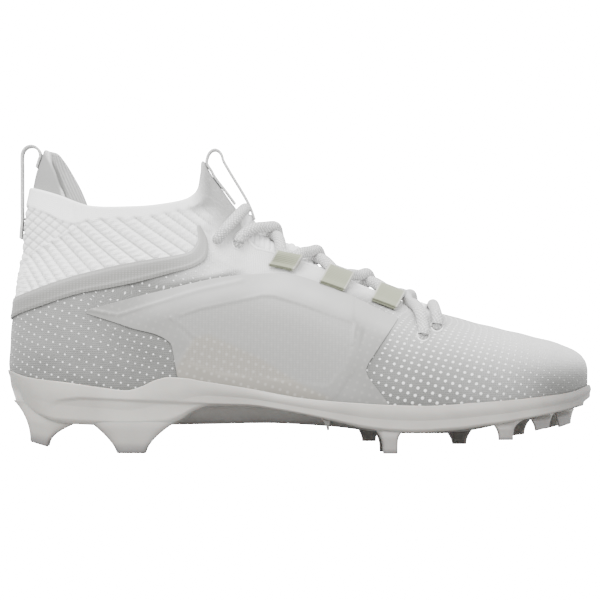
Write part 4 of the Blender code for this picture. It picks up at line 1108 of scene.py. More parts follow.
    def open_faces(self, grid: Array) -> tuple[Array, Array]:
        """Cuts the throat and the lace holes: which faces stay, and the grid with its cut edges drawn to the outline.

        Args:
            grid: The closed grid of the outer surface.

        Returns:
            Which faces stay, and the moved grid.
        """
        moved = grid.copy()
        high = grid[..., 2] > LAST.ridge(grid[..., 0]) - 0.030
        distance = np.where(high, self.throat_distance(grid[..., 0], grid[..., 1]), 1.0)
        keep = np.ones(grid.shape[:2], bool)
        keep, moved = self.cut(keep, moved, distance, lambda p: self.throat_distance(p[..., 0], p[..., 1]), (0, 1))
        for x, z in self.hole_places():
            def round_hole(p: Array, x: float = x, z: float = z) -> Array:
                """Distance outside one lace hole in the side view."""
                return np.hypot(p[..., 0] - x, p[..., 2] - z) - self.eyelet
            keep, moved = self.cut(keep, moved, round_hole(grid), round_hole, (0, 2))
        return keep[:-1], moved

    @staticmethod
    def cut(keep: Array, grid: Array, distance: Array, measure: Callable[[Array], Array],
            axes: tuple[int, int]) -> tuple[Array, Array]:
        """Leaves out faces inside an outline and draws the points on the cut edge to it.

        Args:
            keep: Which faces stay so far.
            grid: The grid.
            distance: Distance outside the outline at each point.
            measure: The same distance as a function of points.
            axes: The two axes of the view in which it is measured.

        Returns:
            Which faces stay, and the moved grid.
        """
        up = np.roll(distance, -1, 0)
        out = np.mean([distance, np.roll(distance, -1, 1), up, np.roll(up, -1, 1)], 0) < 0
        keep = keep & ~out
        touched = np.zeros_like(out)
        stays = np.zeros_like(out)
        for down, right in ((0, 0), (0, 1), (1, 0), (1, 1)):
            touched |= np.roll(np.roll(out, down, 0), right, 1)
            stays |= np.roll(np.roll(keep, down, 0), right, 1)
        edge = touched & stays
        points = grid[edge]
        for _ in range(4):
            here = measure(points)
            slope = []
            for axis in axes:
                step = np.zeros(3)
                step[axis] = PROBE
                slope.append((measure(points + step) - here) / PROBE)
            size = np.maximum(slope[0] ** 2 + slope[1] ** 2, 1e-6)
            for axis, part in zip(axes, slope):
                points[:, axis] -= here * part / size
        if axes == (0, 1):
            points[:, 2] = LAST.top(points[:, 0], points[:, 1])
        else:
            side = np.sign(points[:, 1] - LAST.centre(points[:, 0]))
            points[:, 1] = LAST.centre(points[:, 0]) + side * LAST.half_width(points[:, 0], points[:, 2])
        grid = grid.copy()
        grid[edge] = points
        return keep, grid

    def edge_gap(self, grid: Array) -> Array:
        """Distance to the nearest cut edge, where the relief has to fade."""
        gap = np.abs(self.throat_distance(grid[..., 0], grid[..., 1]))
        for x, z in self.hole_places():
            gap = np.minimum(gap, np.abs(np.hypot(grid[..., 0] - x, grid[..., 2] - z) - self.eyelet))
        return gap

    def build(self) -> None:
        """Makes the outside, the inside and the throat's edge, and dresses them."""
        rows = np.concatenate([[-1.0, -0.5], np.linspace(0, 1, self.rows)])
        grid, flat = self.grid(rows, self.columns)
        keep, grid = self.open_faces(grid)
        relief, values = self.looks(grid[..., 0], grid[..., 2], grid[..., 1])
        normal = grid_normals(grid, True)
        relief = relief * smoothstep(0.0, 0.004, grid[..., 2] - RIM.at(grid[..., 0]))
        relief = relief * smoothstep(0.0, 0.0025, np.where(grid[..., 2] > 0.06, self.edge_gap(grid), 1.0))
        shell = grid + normal * relief[..., None]
        top, out = shell[-1], normal[-1]
        rise = unit(np.cross(out, np.roll(top, -1, 0) - np.roll(top, 1, 0)))
        rolls = [top + rise * self.roll * math.sin(a) - out * self.roll * (1 - math.cos(a))
                 for a in np.radians([35.0, 75.0, 115.0, 150.0, 180.0])]
        tail = [rolls[-1] - rise * 0.004 - out * 0.0001]
        shell = np.concatenate([shell, rolls, tail])
        more = len(rolls) + len(tail)
        flat = np.concatenate([flat] + [flat[-1:] + (0, 0.001 * k) for k in range(1, more + 1)])
        values = {key: np.concatenate([value] + [value[-1:]] * more) for key, value in values.items()}
        keep = np.concatenate([keep, np.ones((more, keep.shape[1]), bool)])
        knit = Knit().make()
        dress(grid_object("bootie_knit", shell, True, keep, flat, values), knit, "knit", "upper")
        self.inside(knit)
        self.throat_edge(knit)

    def inside(self, knit: bpy.types.Material) -> None:
        """The inside face, one wall in from the outside and turned inwards."""
        rows = np.concatenate([[-1.0, -0.5], np.linspace(0, 1, 60)])
        grid, flat = self.grid(rows, 150)
        keep, grid = self.open_faces(grid)
        grid = grid - grid_normals(grid, True) * self.wall
        turned = grid[:, ::-1]
        keep = np.roll(keep[:, ::-1], -1, 1)
        values = {"shade": 0.72, "painted_shade": 0.0, "fleck": 0.2, "dots": 0.0, "dot_light": 0.0, "stitch": 0.7}
        values = {key: np.full(turned.shape[:2], value) for key, value in values.items()}
        dress(grid_object("bootie_inside", turned, True, keep, flat[:, ::-1], values), knit, "knit")

    def throat_edge(self, knit: bpy.types.Material) -> None:
        """The rolled edge round the throat and a flat rim in each lace hole."""
        plan = self.throat_line(220, 0.0002)
        path = LAST.over(plan[:, 0], plan[:, 1], -0.0006)
        lifted = LAST.over(plan[:, 0], plan[:, 1], 0.004) - path
        pieces = [tube_object("throat_edge", path, self.edge_radius, 14, True, 1.15, lifted)]
        turn = np.radians(np.arange(36) * 10.0)
        for side in Side:
            for number, (x, z) in enumerate(self.hole_places(), 1):
                wide = self.eyelet + 0.0002
                round_x, round_z = x + wide * np.cos(turn), z + wide * np.sin(turn)
                ring = LAST.side_point(side, round_x, round_z, -0.0002)
                off = LAST.side_point(side, round_x, round_z, 0.001) - ring
                pieces.append(tube_object(f"eyelet_{side.word}_{number}", ring, self.eyelet_rim, 10, True, 1.0, off))
        edge = joined("throat_edge", pieces)
        for key, value in (("shade", 0.80), ("fleck", 0.15), ("stitch", 0.5)):
            layer = edge.data.attributes.new(key, "FLOAT", "POINT")
            layer.data.foreach_set("value", np.full(len(edge.data.vertices), value, np.float32))
        dress(edge, knit, "knit")


@dataclass
class SideFilm:
    """The frosted film over the side of the foot: strap layer, window of fine mesh and raised lines."""

    columns: int = 230
    rows: int = 92
    thickness: float = 0.0003
    clearance: float = 0.0003
    strap_step: float = 0.0003
    rear: float = -0.360
    top_front: float = 0.166
    low_front: float = 0.150
    low_end: float = -0.206
    front_bow: float = 0.049
    bow_at: tuple[float, ...] = (0, 0.32, 0.40, 0.48, 1)
    bow_share: tuple[float, ...] = (0, 0.82, 0.93, 0.86, 0)
    window_depth: float = 0.00022
    strap_border: float = 0.0015
    top: Curve = Curve(LENGTH, TAB_HEIGHT, (
        (-0.360, 0.486), (-0.242, 0.547), (-0.098, 0.604), (-0.036, 0.609), (0.074, 0.543), (0.166, 0.455),
    ))
    low: Curve = Curve(LENGTH, TAB_HEIGHT, ((-0.360, 0.474), (-0.285, 0.425), (-0.218, 0.374), (-0.206, 0.262)))
    window: tuple[Point, ...] = (
        (-63.2, 66.7), (-48.9, 71.1), (-29.2, 75.3), (-18.4, 77.8), (-12.9, 77.5), (0.3, 73.6), (27.4, 63.7),
        (25.9, 53.4), (22.5, 43.5), (14, 33.4), (-40, 39.4), (-56, 45.4), (-54, 55.4),
    )
    tip_line: tuple[Point, ...] = ((-105, 71.0), (-89.7, 68.2), (-68.6, 74.6), (-48.9, 80.5), (-28.7, 84.9))
    strap_left: tuple[Point, ...] = ((-63.2, 66.7), (-50.8, 56.3), (-60.8, 43.0), (-64, 37.4))
    strap_right: tuple[Point, ...] = ((27.4, 63.7), (30.3, 60.7), (26.1, 40.8), (16.0, 26.3))
    beige: tuple[Point, ...] = (
        (-51.8, 56.9), (-44.3, 58.4), (-20.2, 47.3), (0.4, 34.3), (15.4, 27.3), (0.4, 23.4), (-29.7, 27.4), (-64, 35.4),
        (-60.8, 41.4),
    )

    def grid(self) -> tuple[Array, Array, Array]:
        """Places in the side view from the rear tip to the bowed front edge, and how full the sheet is there."""
        s, full_s = rounded(self.columns, 0.150, self.thickness)
        r, full_r = rounded(self.rows, 0.050, self.thickness)
        r, s = np.meshgrid(r, s, indexing="ij")
        top_x = LENGTH * (self.rear + (self.top_front - self.rear) * s)
        low_x = LENGTH * (self.rear + (self.low_front - self.rear) * s)
        low_line = self.low.at(low_x) * (low_x < self.low_end * LENGTH)
        low_z = np.maximum(low_line, RIM.at(low_x) + 0.0006)
        x = low_x + (top_x - low_x) * r - self.front_bow * LENGTH * s**6 * np.interp(r, self.bow_at, self.bow_share)
        z = low_z + (self.top.at(top_x) - low_z) * r
        return x, z, np.minimum(full_r[:, None], full_s[None, :])

    def build(self, side: Side, film: bpy.types.Material) -> None:
        """Makes one side's film: its relief is a sum of soft ridges along lines of the side view.

        Args:
            side: Which side.
            film: The film's material.
        """
        x, z, full = self.grid()
        window = inside(x, z, self.window, 0.0012)
        ahead = smoothstep(0, self.strap_border, line_side(x, z, self.strap_left))
        behind = smoothstep(0, self.strap_border, -line_side(x, z, self.strap_right))
        relief = self.strap_step * (ahead * behind) - self.window_depth * window
        for line, tall, wide in ((self.tip_line, 0.00030, 0.0010), (self.strap_left, 0.00028, 0.0009),
                                 (self.strap_right, 0.00030, 0.0009), (self.window[:8], 0.00022, 0.0008)):
            relief = relief + tall * bell(line_distance(x, z, line), wide)
        relief = relief + 0.00012 * np.sin(x * 260 + 1) * np.sin(z * 300) * (1 - window)
        middle = LAST.side_point(side, x, z, self.clearance + self.thickness / 2 + relief)
        tail = 1 - smoothstep(-0.100, -0.050, x)
        front = smoothstep(0.016, 0.034, x)
        beige = inside(x, z, self.beige, 0.0015)
        rim_gap = self.top.at(x) - z
        shade = 0.26 + 0.46 * (1 - window) * (1 - smoothstep(0.006, 0.016, rim_gap)) * (1 - tail)
        shade = shade + 0.10 * window * (1 - smoothstep(0.004, 0.022, rim_gap)) - 0.04 * tail - 0.06 * front
        values = {"shade": shade, "warm": beige * 0.75, "dots": 0.10 + 0.30 * beige + 0.15 * tail + 0.1 * front,
                  "net": 0.22 * window}
        flat = np.stack([x, z], -1)
        if side is Side.INNER:
            middle, full, flat = middle[:, ::-1], full[:, ::-1], flat[:, ::-1]
            values = {key: value[:, ::-1] for key, value in values.items()}
        piece = sheet_object(f"film_{side.word}", middle, full, self.thickness, values, flat)
        dress(piece, film, "film", f"side_film_{side.word}")


def line_side(x: Array, z: Array, line: tuple[Point, ...]) -> Array:
    """How far ahead of a steep line of the side view a place lies, in metres. The line is in millimetres."""
    rows = sorted((point[1], point[0]) for point in line)
    at = np.interp(z / MM, [row[0] for row in rows], [row[1] for row in rows])
    return x - at * MM


@dataclass
class HeelBand:
    """The welded band round the heel, which turns up at its two front corners."""

    columns: int = 420
    rows: int = 18
    samples: int = 400
    back_top: float = 77.0
    back_low: float = 66.6
    thickness: float = 0.0004
    clearance: float = 0.0004

    def edge(self, line: tuple[Point, ...], start: float) -> Array:
        """One edge of the band on one side as a smooth line from the heel's back, in places along and heights."""
        first = (float(BACK.at(np.array(start * MM))) / MM, start)
        places = np.array([(x, 0.0, z) for x, z in (first,) + line]) * MM
        return through(places, self.samples)

    def build(self, film: bpy.types.Material) -> None:
        """Spans the two edges, turns the span round the heel and raises its borders."""
        turn = np.linspace(-1, 1, self.columns)
        reach = np.abs(turn)
        at = (self.samples - 1) * ((1 - np.cos(reach * math.pi / 2)) * 0.72 + 0.28 * reach**2)
        top, low = self.edge(BAND_TOP, self.back_top), self.edge(BAND_LOW, self.back_low)
        high_x, high_z, low_x, low_z = (np.interp(at, np.arange(self.samples), line[:, axis])
                                        for line in (top, low) for axis in (0, 2))
        v, full_v = rounded(self.rows, 0.011, self.thickness)
        z = low_z + (high_z - low_z) * v[:, None]
        base_low = low_x - BACK.at(low_z)
        base_high = high_x - BACK.at(high_z)
        x = BACK.at(z) + np.maximum(base_low + (base_high - base_low) * v[:, None], 0)
        side = np.sign(turn)[None, :] * np.ones_like(z)
        y = LAST.centre(x) - side * LAST.half_width(x, z)
        grid = np.stack([x, y, z], -1)
        ridge = bell(v - 0.16, 0.07) + bell(v - 0.80, 0.06)
        lift = self.clearance + self.thickness / 2 + 0.00022 * ridge[:, None]
        middle = grid + grid_normals(grid) * lift[..., None]
        full = np.minimum(full_v[:, None], np.minimum(1, (1 - reach) * 60)[None, :])
        tone = (0.12 + 0.26 * smoothstep(0.55, 0.80, v) - 0.06 * (v < 0.14))[:, None]
        tone = tone + 0.35 * smoothstep(0.78, 0.96, reach)[None, :]
        values = {"shade": tone, "warm": 0.0, "dots": 0.0, "net": 0.30}
        piece = sheet_object("welded_band", middle, full, self.thickness, values, np.stack([x, z], -1))
        dress(piece, film, "film", "collar_band")


@dataclass
class HeelLining:
    """The padded twill lining that stands above the collar at the heel."""

    columns: int = 160
    rows: int = 60
    thickness: float = 0.0020
    depth: float = 0.0026
    foot: float = 0.80
    swelling: float = 0.0016
    face_high: tuple[float, ...] = (0.120, 0.127, 0.132, 0.142, 0.150)
    face_back: tuple[float, ...] = (-0.1185, -0.1189, -0.120, -0.124, -0.1295)
    outer: Curve = Curve(LENGTH, COLLAR_HEIGHT, (
        (0.000, 1.255), (0.010, 1.245), (0.0213, 1.1975), (0.0349, 1.156), (0.0475, 1.104), (0.0625, 1.054),
        (0.072, 0.990),
    ))
    inner: Curve = Curve(LENGTH, COLLAR_HEIGHT, (
        (0.000, 1.255), (0.019, 1.248), (0.038, 1.216), (0.0705, 1.134), (0.1005, 1.025), (0.110, 0.975),
    ))

    def build(self, twill: bpy.types.Material) -> None:
        """Spans the lining from its foot to a crest that falls away from the heel, and swells it a little."""
        turn, full_turn = rounded(self.columns, 0.060, self.thickness)
        turn = turn * 2 - 1
        walk = np.abs(np.sign(turn) * (1 - np.cos(turn * math.pi / 2)))
        reach = np.where(turn < 0, self.inner.rows[-1][0], self.outer.rows[-1][0]) * LENGTH
        forward = walk * reach
        crest = np.where(turn < 0, self.inner.at(forward), self.outer.at(forward))
        rise, full_rise = rounded(self.rows, 0.050, self.thickness)
        z = self.foot * COLLAR_HEIGHT + (crest - self.foot * COLLAR_HEIGHT) * rise[:, None]
        x = BACK.at(z) + forward
        y = LAST.centre(x) - np.sign(turn) * LAST.half_width(x, z)
        grid = np.stack([x, y, z], -1)
        full = np.minimum(full_turn[None, :], full_rise[:, None])
        upwards = np.sin(math.pi * np.clip(rise, 0, 1) ** 1.5)[:, None]
        swell = self.swelling * upwards * np.sin(math.pi * (turn + 1) / 2) ** 0.5
        middle = grid - grid_normals(grid) * (self.depth + self.thickness / 2)
        # painted shade on the hood's rear part, behind a line up its face
        rear_shade = 0.95 * (1 - smoothstep(-0.0008, 0.0008, x - np.interp(z, self.face_high, self.face_back)))
        piece = sheet_object("heel_hood", middle, full, self.thickness + swell, {"painted_shade": rear_shade})
        dress(piece, twill, "lining", "heel_lining")


@dataclass
class RibTongue:
    """The ribbed knit panel under the throat, which swells between the laces."""

    columns: int = 300
    rows: int = 60
    thickness: float = 0.0022
    bulge: float = 0.0038
    rest: float = 0.0005
    hidden: float = -0.0031
    rib: float = 0.0027
    rib_height: float = 0.00035

    def build(self, knit: bpy.types.Material, bootie: Bootie, crossings: list[float]) -> None:
        """Lays the panel under the throat, lifts its open part and waves it with cross ribs.

        Args:
            knit: The knit.
            bootie: The bootie, for its throat.
            crossings: Where the laces cross, along the shoe.
        """
        along, full_x = rounded(self.columns, 0.100, self.thickness)
        across, full_y = rounded(self.rows, 0.036, self.thickness)
        start, end = bootie.throat_back - 0.010, bootie.throat_front + 0.012
        x, t = np.meshgrid(start + (end - start) * along, across * 2 - 1)
        half = bootie.throat_half(x) + 0.005
        y = LAST.centre(x) + t * half
        gap = -bootie.throat_distance(x, y)
        open_part = smoothstep(0.0006, 0.0030, gap)
        swell = np.ones_like(x)
        for place in crossings:
            swell = swell * smoothstep(0.0046, 0.0100, np.abs(x - place) - 0.60 * np.abs(t) * half)
        shown = self.bulge * swell - self.rest
        lift = self.hidden + (shown - self.hidden) * open_part
        ribs = np.sin(x * 2 * math.pi / self.rib)
        lift = lift + self.rib_height * ribs * open_part - self.thickness / 2
        middle = LAST.over(x, y, lift)
        full = np.minimum(full_x[None, :], full_y[:, None])
        # painted shade in the troughs between the ribs
        values = {"shade": 0.84, "painted_shade": 0.30 * (0.5 - 0.5 * ribs) ** 2, "fleck": 0.12, "dots": 0.0,
                  "dot_light": 0.0, "stitch": 0.6}
        piece = sheet_object("rib_tongue", middle, full, self.thickness, values)
        dress(piece, knit, "tongue", "tongue")


@dataclass
class Lacing:
    """The tape loops and the round lace: two strands that cross between them, and two bars."""

    loops: tuple[float, ...] = (-0.022, 0.064, 0.151)
    bars: tuple[float, ...] = (-0.102, 0.226)
    first_crossing: float = -0.053
    radius: float = 0.0028
    width: float = 0.0125
    drops: tuple[float, ...] = (0.0038, 0.0052, 0.0048)
    rake: float = 0.0032
    setback: float = 0.0030
    standoff: float = 0.0014
    ride_over: float = 0.0026
    ride_under: float = 0.0022
    sink: float = 0.0022
    sides: int = 22
    tape: float = 0.0010
    tape_lift: float = 0.0014
    fold: float = 0.0032

    def loop_edge(self, bootie: Bootie, x: Array) -> Array:
        """Distance from the shoe's middle to the loops' upper ends."""
        return bootie.throat_half(x) + self.setback

    def hole(self, bootie: Bootie, side: Side, number: int, towards: float) -> Array:
        """Plan of a lace hole, moved towards the shoe's middle."""
        x, z = bootie.hole_places()[number]
        half = float(LAST.half_width(np.array([x]), np.array([z]))[0]) - towards
        return np.array([x, float(LAST.centre(x)) + side.value * half])

    def loop_end(self, bootie: Bootie, side: Side, number: int, way: int) -> Array:
        """Plan of the strand's end at a loop, ahead of or behind the loop's middle."""
        x = self.loops[number] * LENGTH + way * 0.28 * self.width
        y = float(LAST.centre(x)) + side.value * (float(self.loop_edge(bootie, x)) - self.standoff)
        return np.array([x, y])

    def ends(self, bootie: Bootie, side: Side) -> tuple[list[Array], list[Array]]:
        """Plan points that the strands leave forwards from, and those that they come back to."""
        fronts = [self.hole(bootie, side, 1, 0.001)] + [self.loop_end(bootie, side, n, 1) for n in range(3)]
        backs = [self.loop_end(bootie, side, n, -1) for n in range(3)] + [self.hole(bootie, side, 2, 0.003)]
        return fronts, backs

    def crossings(self, bootie: Bootie) -> list[float]:
        """Where the strands cross over the throat, along the shoe."""
        fronts = self.ends(bootie, Side.OUTER)[0]
        backs = self.ends(bootie, Side.INNER)[1]
        places = []
        for front, back in zip(fronts, backs):
            share = -front[1] / (back[1] - front[1])
            places.append(float(front[0] + (back[0] - front[0]) * share))
        return [self.first_crossing * LENGTH] + places[1:]

    def strand(self, bootie: Bootie, side: Side) -> Array:
        """One strand from its top hole, across and back through the loops to its hole at the toe.

        Between two ends it goes straight in plan with a sine bend to the crossing, at half its thickness over the
        surface, and rides up or down where the other strand crosses it, by a bell curve.

        Args:
            bootie: The bootie.
            side: The side of the strand's first hole.

        Returns:
            The strand's middle line.
        """
        other = Side.INNER if side is Side.OUTER else Side.OUTER
        lines = []
        for number in range(4):
            here, there = (side, other) if number % 2 == 0 else (other, side)
            start = self.ends(bootie, here)[0][number]
            end = self.ends(bootie, there)[1][number]
            t = np.linspace(0, 1, 25)
            plan = start + (end - start) * t[:, None]
            bend = self.crossings(bootie)[0] - plan[12, 0] if number == 0 else 0.0
            plan[:, 0] += bend * np.sin(math.pi * t)
            above = (number % 2 == 0) == (side is Side.OUTER)
            bump = (self.ride_over if above else -self.ride_under) * bell(t - 0.5, 0.13)
            sink = self.sink * (bell(t, 0.07) * (number == 0) + bell(1 - t, 0.07) * (number == 3))
            lines.append(LAST.over(plan[:, 0], plan[:, 1], self.radius + 0.0008 + bump - sink))
        lines[0] = np.concatenate([self.into_hole(bootie, side, 1), lines[0]])
        lines[-1] = np.concatenate([lines[-1], self.into_hole(bootie, side, 2)[::-1]])
        return through(np.concatenate(lines), 620)

    def into_hole(self, bootie: Bootie, side: Side, number: int) -> Array:
        """Points of a cord's end from inside the shoe out through a lace hole."""
        x, z = bootie.hole_places()[number]
        place, high = np.full(3, x), np.full(3, z)
        return LAST.side_point(side, place, high, np.array([-0.0050, -0.0020, 0.0006]))

    def bar(self, bootie: Bootie, number: int) -> Array:
        """A bar's middle line: out of a hole, over the ridge and into the same hole on the other side."""
        hole = 0 if number == 0 else 3
        low_x, low_z = bootie.hole_places()[hole]
        top_x = self.bars[number] * LENGTH
        rise = np.sin(np.radians(np.linspace(6, 90, 22)))
        x = low_x + (top_x - low_x) * rise
        z = low_z + (float(LAST.ridge(np.array([top_x]))[0]) - low_z) * rise
        half = LAST.half_width(x, np.minimum(z, LAST.ridge(x)))
        half[-1] = 0.0
        x, half = np.concatenate([x, x[-2::-1]]), np.concatenate([-half, half[-2::-1]])
        line = LAST.over(x, LAST.centre(x) + half, self.radius + 0.0006)
        head, tail = self.into_hole(bootie, Side.OUTER, hole), self.into_hole(bootie, Side.INNER, hole)[::-1]
        return through(np.concatenate([head, line[2:-2], tail]), 160)

    def build(self, bootie: Bootie, cord: bpy.types.Material, tape: bpy.types.Material) -> None:
        """Makes the strands, the bars and the six loops.

        Args:
            bootie: The bootie.
            cord: The lace's material.
            tape: The loops' material.
        """
        first = tube_object("strand_one", self.strand(bootie, Side.OUTER), self.radius, self.sides)
        second = tube_object("strand_two", self.strand(bootie, Side.INNER), self.radius, self.sides)
        dress(joined("lace_strands", [first, second]), cord, "lace", *(f"lace_crossing_{n}" for n in range(1, 5)))
        for number, (word, node) in enumerate((("bar_ankle", "lace_bar_top"), ("bar_toe", "lace_bar_toe"))):
            dress(tube_object(word, self.bar(bootie, number), self.radius, self.sides), cord, "lace", node)
        for side in Side:
            for number in range(3):
                self.loop(bootie, side, number, tape)

    def loop(self, bootie: Bootie, side: Side, number: int, tape: bpy.types.Material) -> None:
        """One folded tape: up the side, round the cord in a half circle and back down on itself.

        Args:
            bootie: The bootie.
            side: The side that it is on.
            number: Its number from the ankle.
            tape: Its material.
        """
        u, full_u = rounded(26, self.width, self.tape)
        u = u - 0.5
        walk = np.linspace(0, 1, 30)
        middle = self.loops[number] * LENGTH
        x = middle + u[None, :] * self.width - walk[:, None] * self.rake
        edge = LAST.centre(x[:1]) + side.value * self.loop_edge(bootie, x[:1])
        z = LAST.top(x[:1], edge) - walk[:, None] * self.drops[number]
        y = LAST.centre(x) + side.value * LAST.half_width(x, z)
        low = LAST.over(x, y, self.tape_lift)
        high = LAST.over(x, y, self.tape_lift + 0.0012 + self.fold * (1 - smoothstep(0.0, 0.75, walk))[:, None])
        angle = np.radians(np.linspace(0, 180, 14))[1:-1]
        centre = (low[0] + high[0]) / 2
        arm = high[0] - centre
        inward = unit(np.cross(np.gradient(low[0], axis=0), arm))
        inward *= np.sign((inward[:, 1] * -side.value).mean()) * np.linalg.norm(arm, axis=1, keepdims=True)
        bend = [centre + arm * math.cos(a) + inward * math.sin(a) for a in angle]
        grid = np.concatenate([high[::-1], bend, low])
        if side is Side.INNER:
            grid = grid[:, ::-1]
        full = full_u[None, :] * np.ones((len(grid), 1))
        full[0] = full[-1] = 0.0
        values = {"edge": (np.abs(u) > 0.43).astype(float)}
        piece = sheet_object(f"tape_{side.word}_{number + 1}", grid, full, self.tape, values)
        dress(piece, tape, "webbing", f"lace_loop_{side.word}_{number + 1}")


@dataclass
class PullTapes:
    """The two finger loops of twill tape: in front of the tab and behind the heel."""

    thickness: float = 0.0014
    tongue_width: float = 0.0095
    heel_width: float = 0.0120
    gap: float = 0.0009
    tongue_arch: Point = (0.00415, 0.0065)
    tongue_foot: float = -0.077
    tongue_seat: Point = (0.850, 0.985)
    tongue_bow: float = 0.0012
    heel_spring: float = 1.255
    heel_seat: Point = (0.88, 0.95)
    heel_arch: float = 0.0050
    heel_landing: float = 0.0060

    def strip(self, name: str, path: Array, width: float, tape: bpy.types.Material, node: str) -> None:
        """Tape of even thickness along a path in the shoe's middle plane.

        Args:
            name: The piece's name.
            path: Places along and heights.
            width: The tape's width.
            tape: Its material.
            node: The CAD node that it replaces.
        """
        line = through(np.insert(path, 1, 0.0, axis=1), 160)
        v, full_v = rounded(22, width, self.thickness)
        across = (v - 0.5) * width
        grid = line[None, :, :] + np.zeros((len(v), 1, 3))
        grid[..., 1] = float(LAST.centre(np.array([path[0, 0]]))[0]) + across[:, None]
        full = full_v[:, None] * np.ones(len(line))
        full[:, 0] = full[:, -1] = 0.0
        piece = sheet_object(name, grid, full, self.thickness)
        dress(piece, tape, "pull_tape", node)

    def build(self, tape: bpy.types.Material) -> None:
        """Makes both loops along their paths."""
        z = np.linspace(*self.tongue_seat, 8) * TAB_HEIGHT
        x = RIDGE.at(z)
        slope = np.gradient(x, z)
        steep = np.sqrt(1 + slope**2)
        inner = np.stack([x + self.gap / steep, z - self.gap * slope / steep], 1)
        top = inner[-1]
        turn = np.radians(np.linspace(180, 12, 8))
        arch_x, arch_z = self.tongue_arch
        arch = np.stack([top[0] - 0.0010 + arch_x * (1 + np.cos(turn)), top[1] + 0.0012 + arch_z * np.sin(turn)], 1)
        foot_x = self.tongue_foot * LENGTH
        foot = np.array([foot_x, float(LAST.ridge(np.array([foot_x]))[0]) + self.gap + 0.0030])
        t = np.linspace(0, 1, 7)[1:, None]
        outer = arch[-1] * (1 - t) + foot * t
        outer[:, 0] += self.tongue_bow * np.sin(math.pi * t[:, 0] ** 1.8)
        path = np.concatenate([inner[:-1], arch, outer])
        self.strip("tongue_tape", path, self.tongue_width, tape, "tongue_pull_loop")
        low = np.linspace(*self.heel_seat, 3) * COLLAR_HEIGHT
        seated = np.stack([BACK.at(low) - self.gap, low], 1)
        spring = self.heel_spring * COLLAR_HEIGHT - 0.0040
        landing = np.linspace(spring, spring - self.heel_landing, 4)
        landing_x = BACK.at(landing) + 0.0026 - self.gap
        rear_x = seated[-1, 0]
        radius = (landing_x[0] - rear_x) / 2
        rise = np.linspace(seated[-1, 1], spring, 6)[1:-1]
        straight = np.stack([np.full_like(rise, rear_x), rise], 1)
        turn = np.radians(np.linspace(180, 0, 9))
        over = np.stack([rear_x + radius * (1 + np.cos(turn)), spring + self.heel_arch * np.sin(turn)], 1)
        path = np.concatenate([seated, straight, over, np.stack([landing_x, landing], 1)[1:]])
        self.strip("heel_tape", path, self.heel_width, tape, "heel_pull_loop")


def widened(points: Array, distance: Array | float) -> Array:
    """Rings moved outwards in plan, square to their own direction."""
    tangent = np.roll(points, -1, -2) - np.roll(points, 1, -2)
    normal = unit(np.stack([tangent[..., 1], -tangent[..., 0], np.zeros(tangent.shape[:-1])], -1))
    return points + normal * (np.zeros(points.shape[:-1]) + distance)[..., None]


@dataclass(frozen=True)
class Stud:
    """One stud, in shares of the shoe's length: where its tip lies and how it flares into the plate."""

    side: Side
    along: float
    tip: float
    high: float
    slope: float
    width: float
    behind: float
    ahead: float
    inset: float
    power_behind: float = 1.8
    power_ahead: float = 2.0


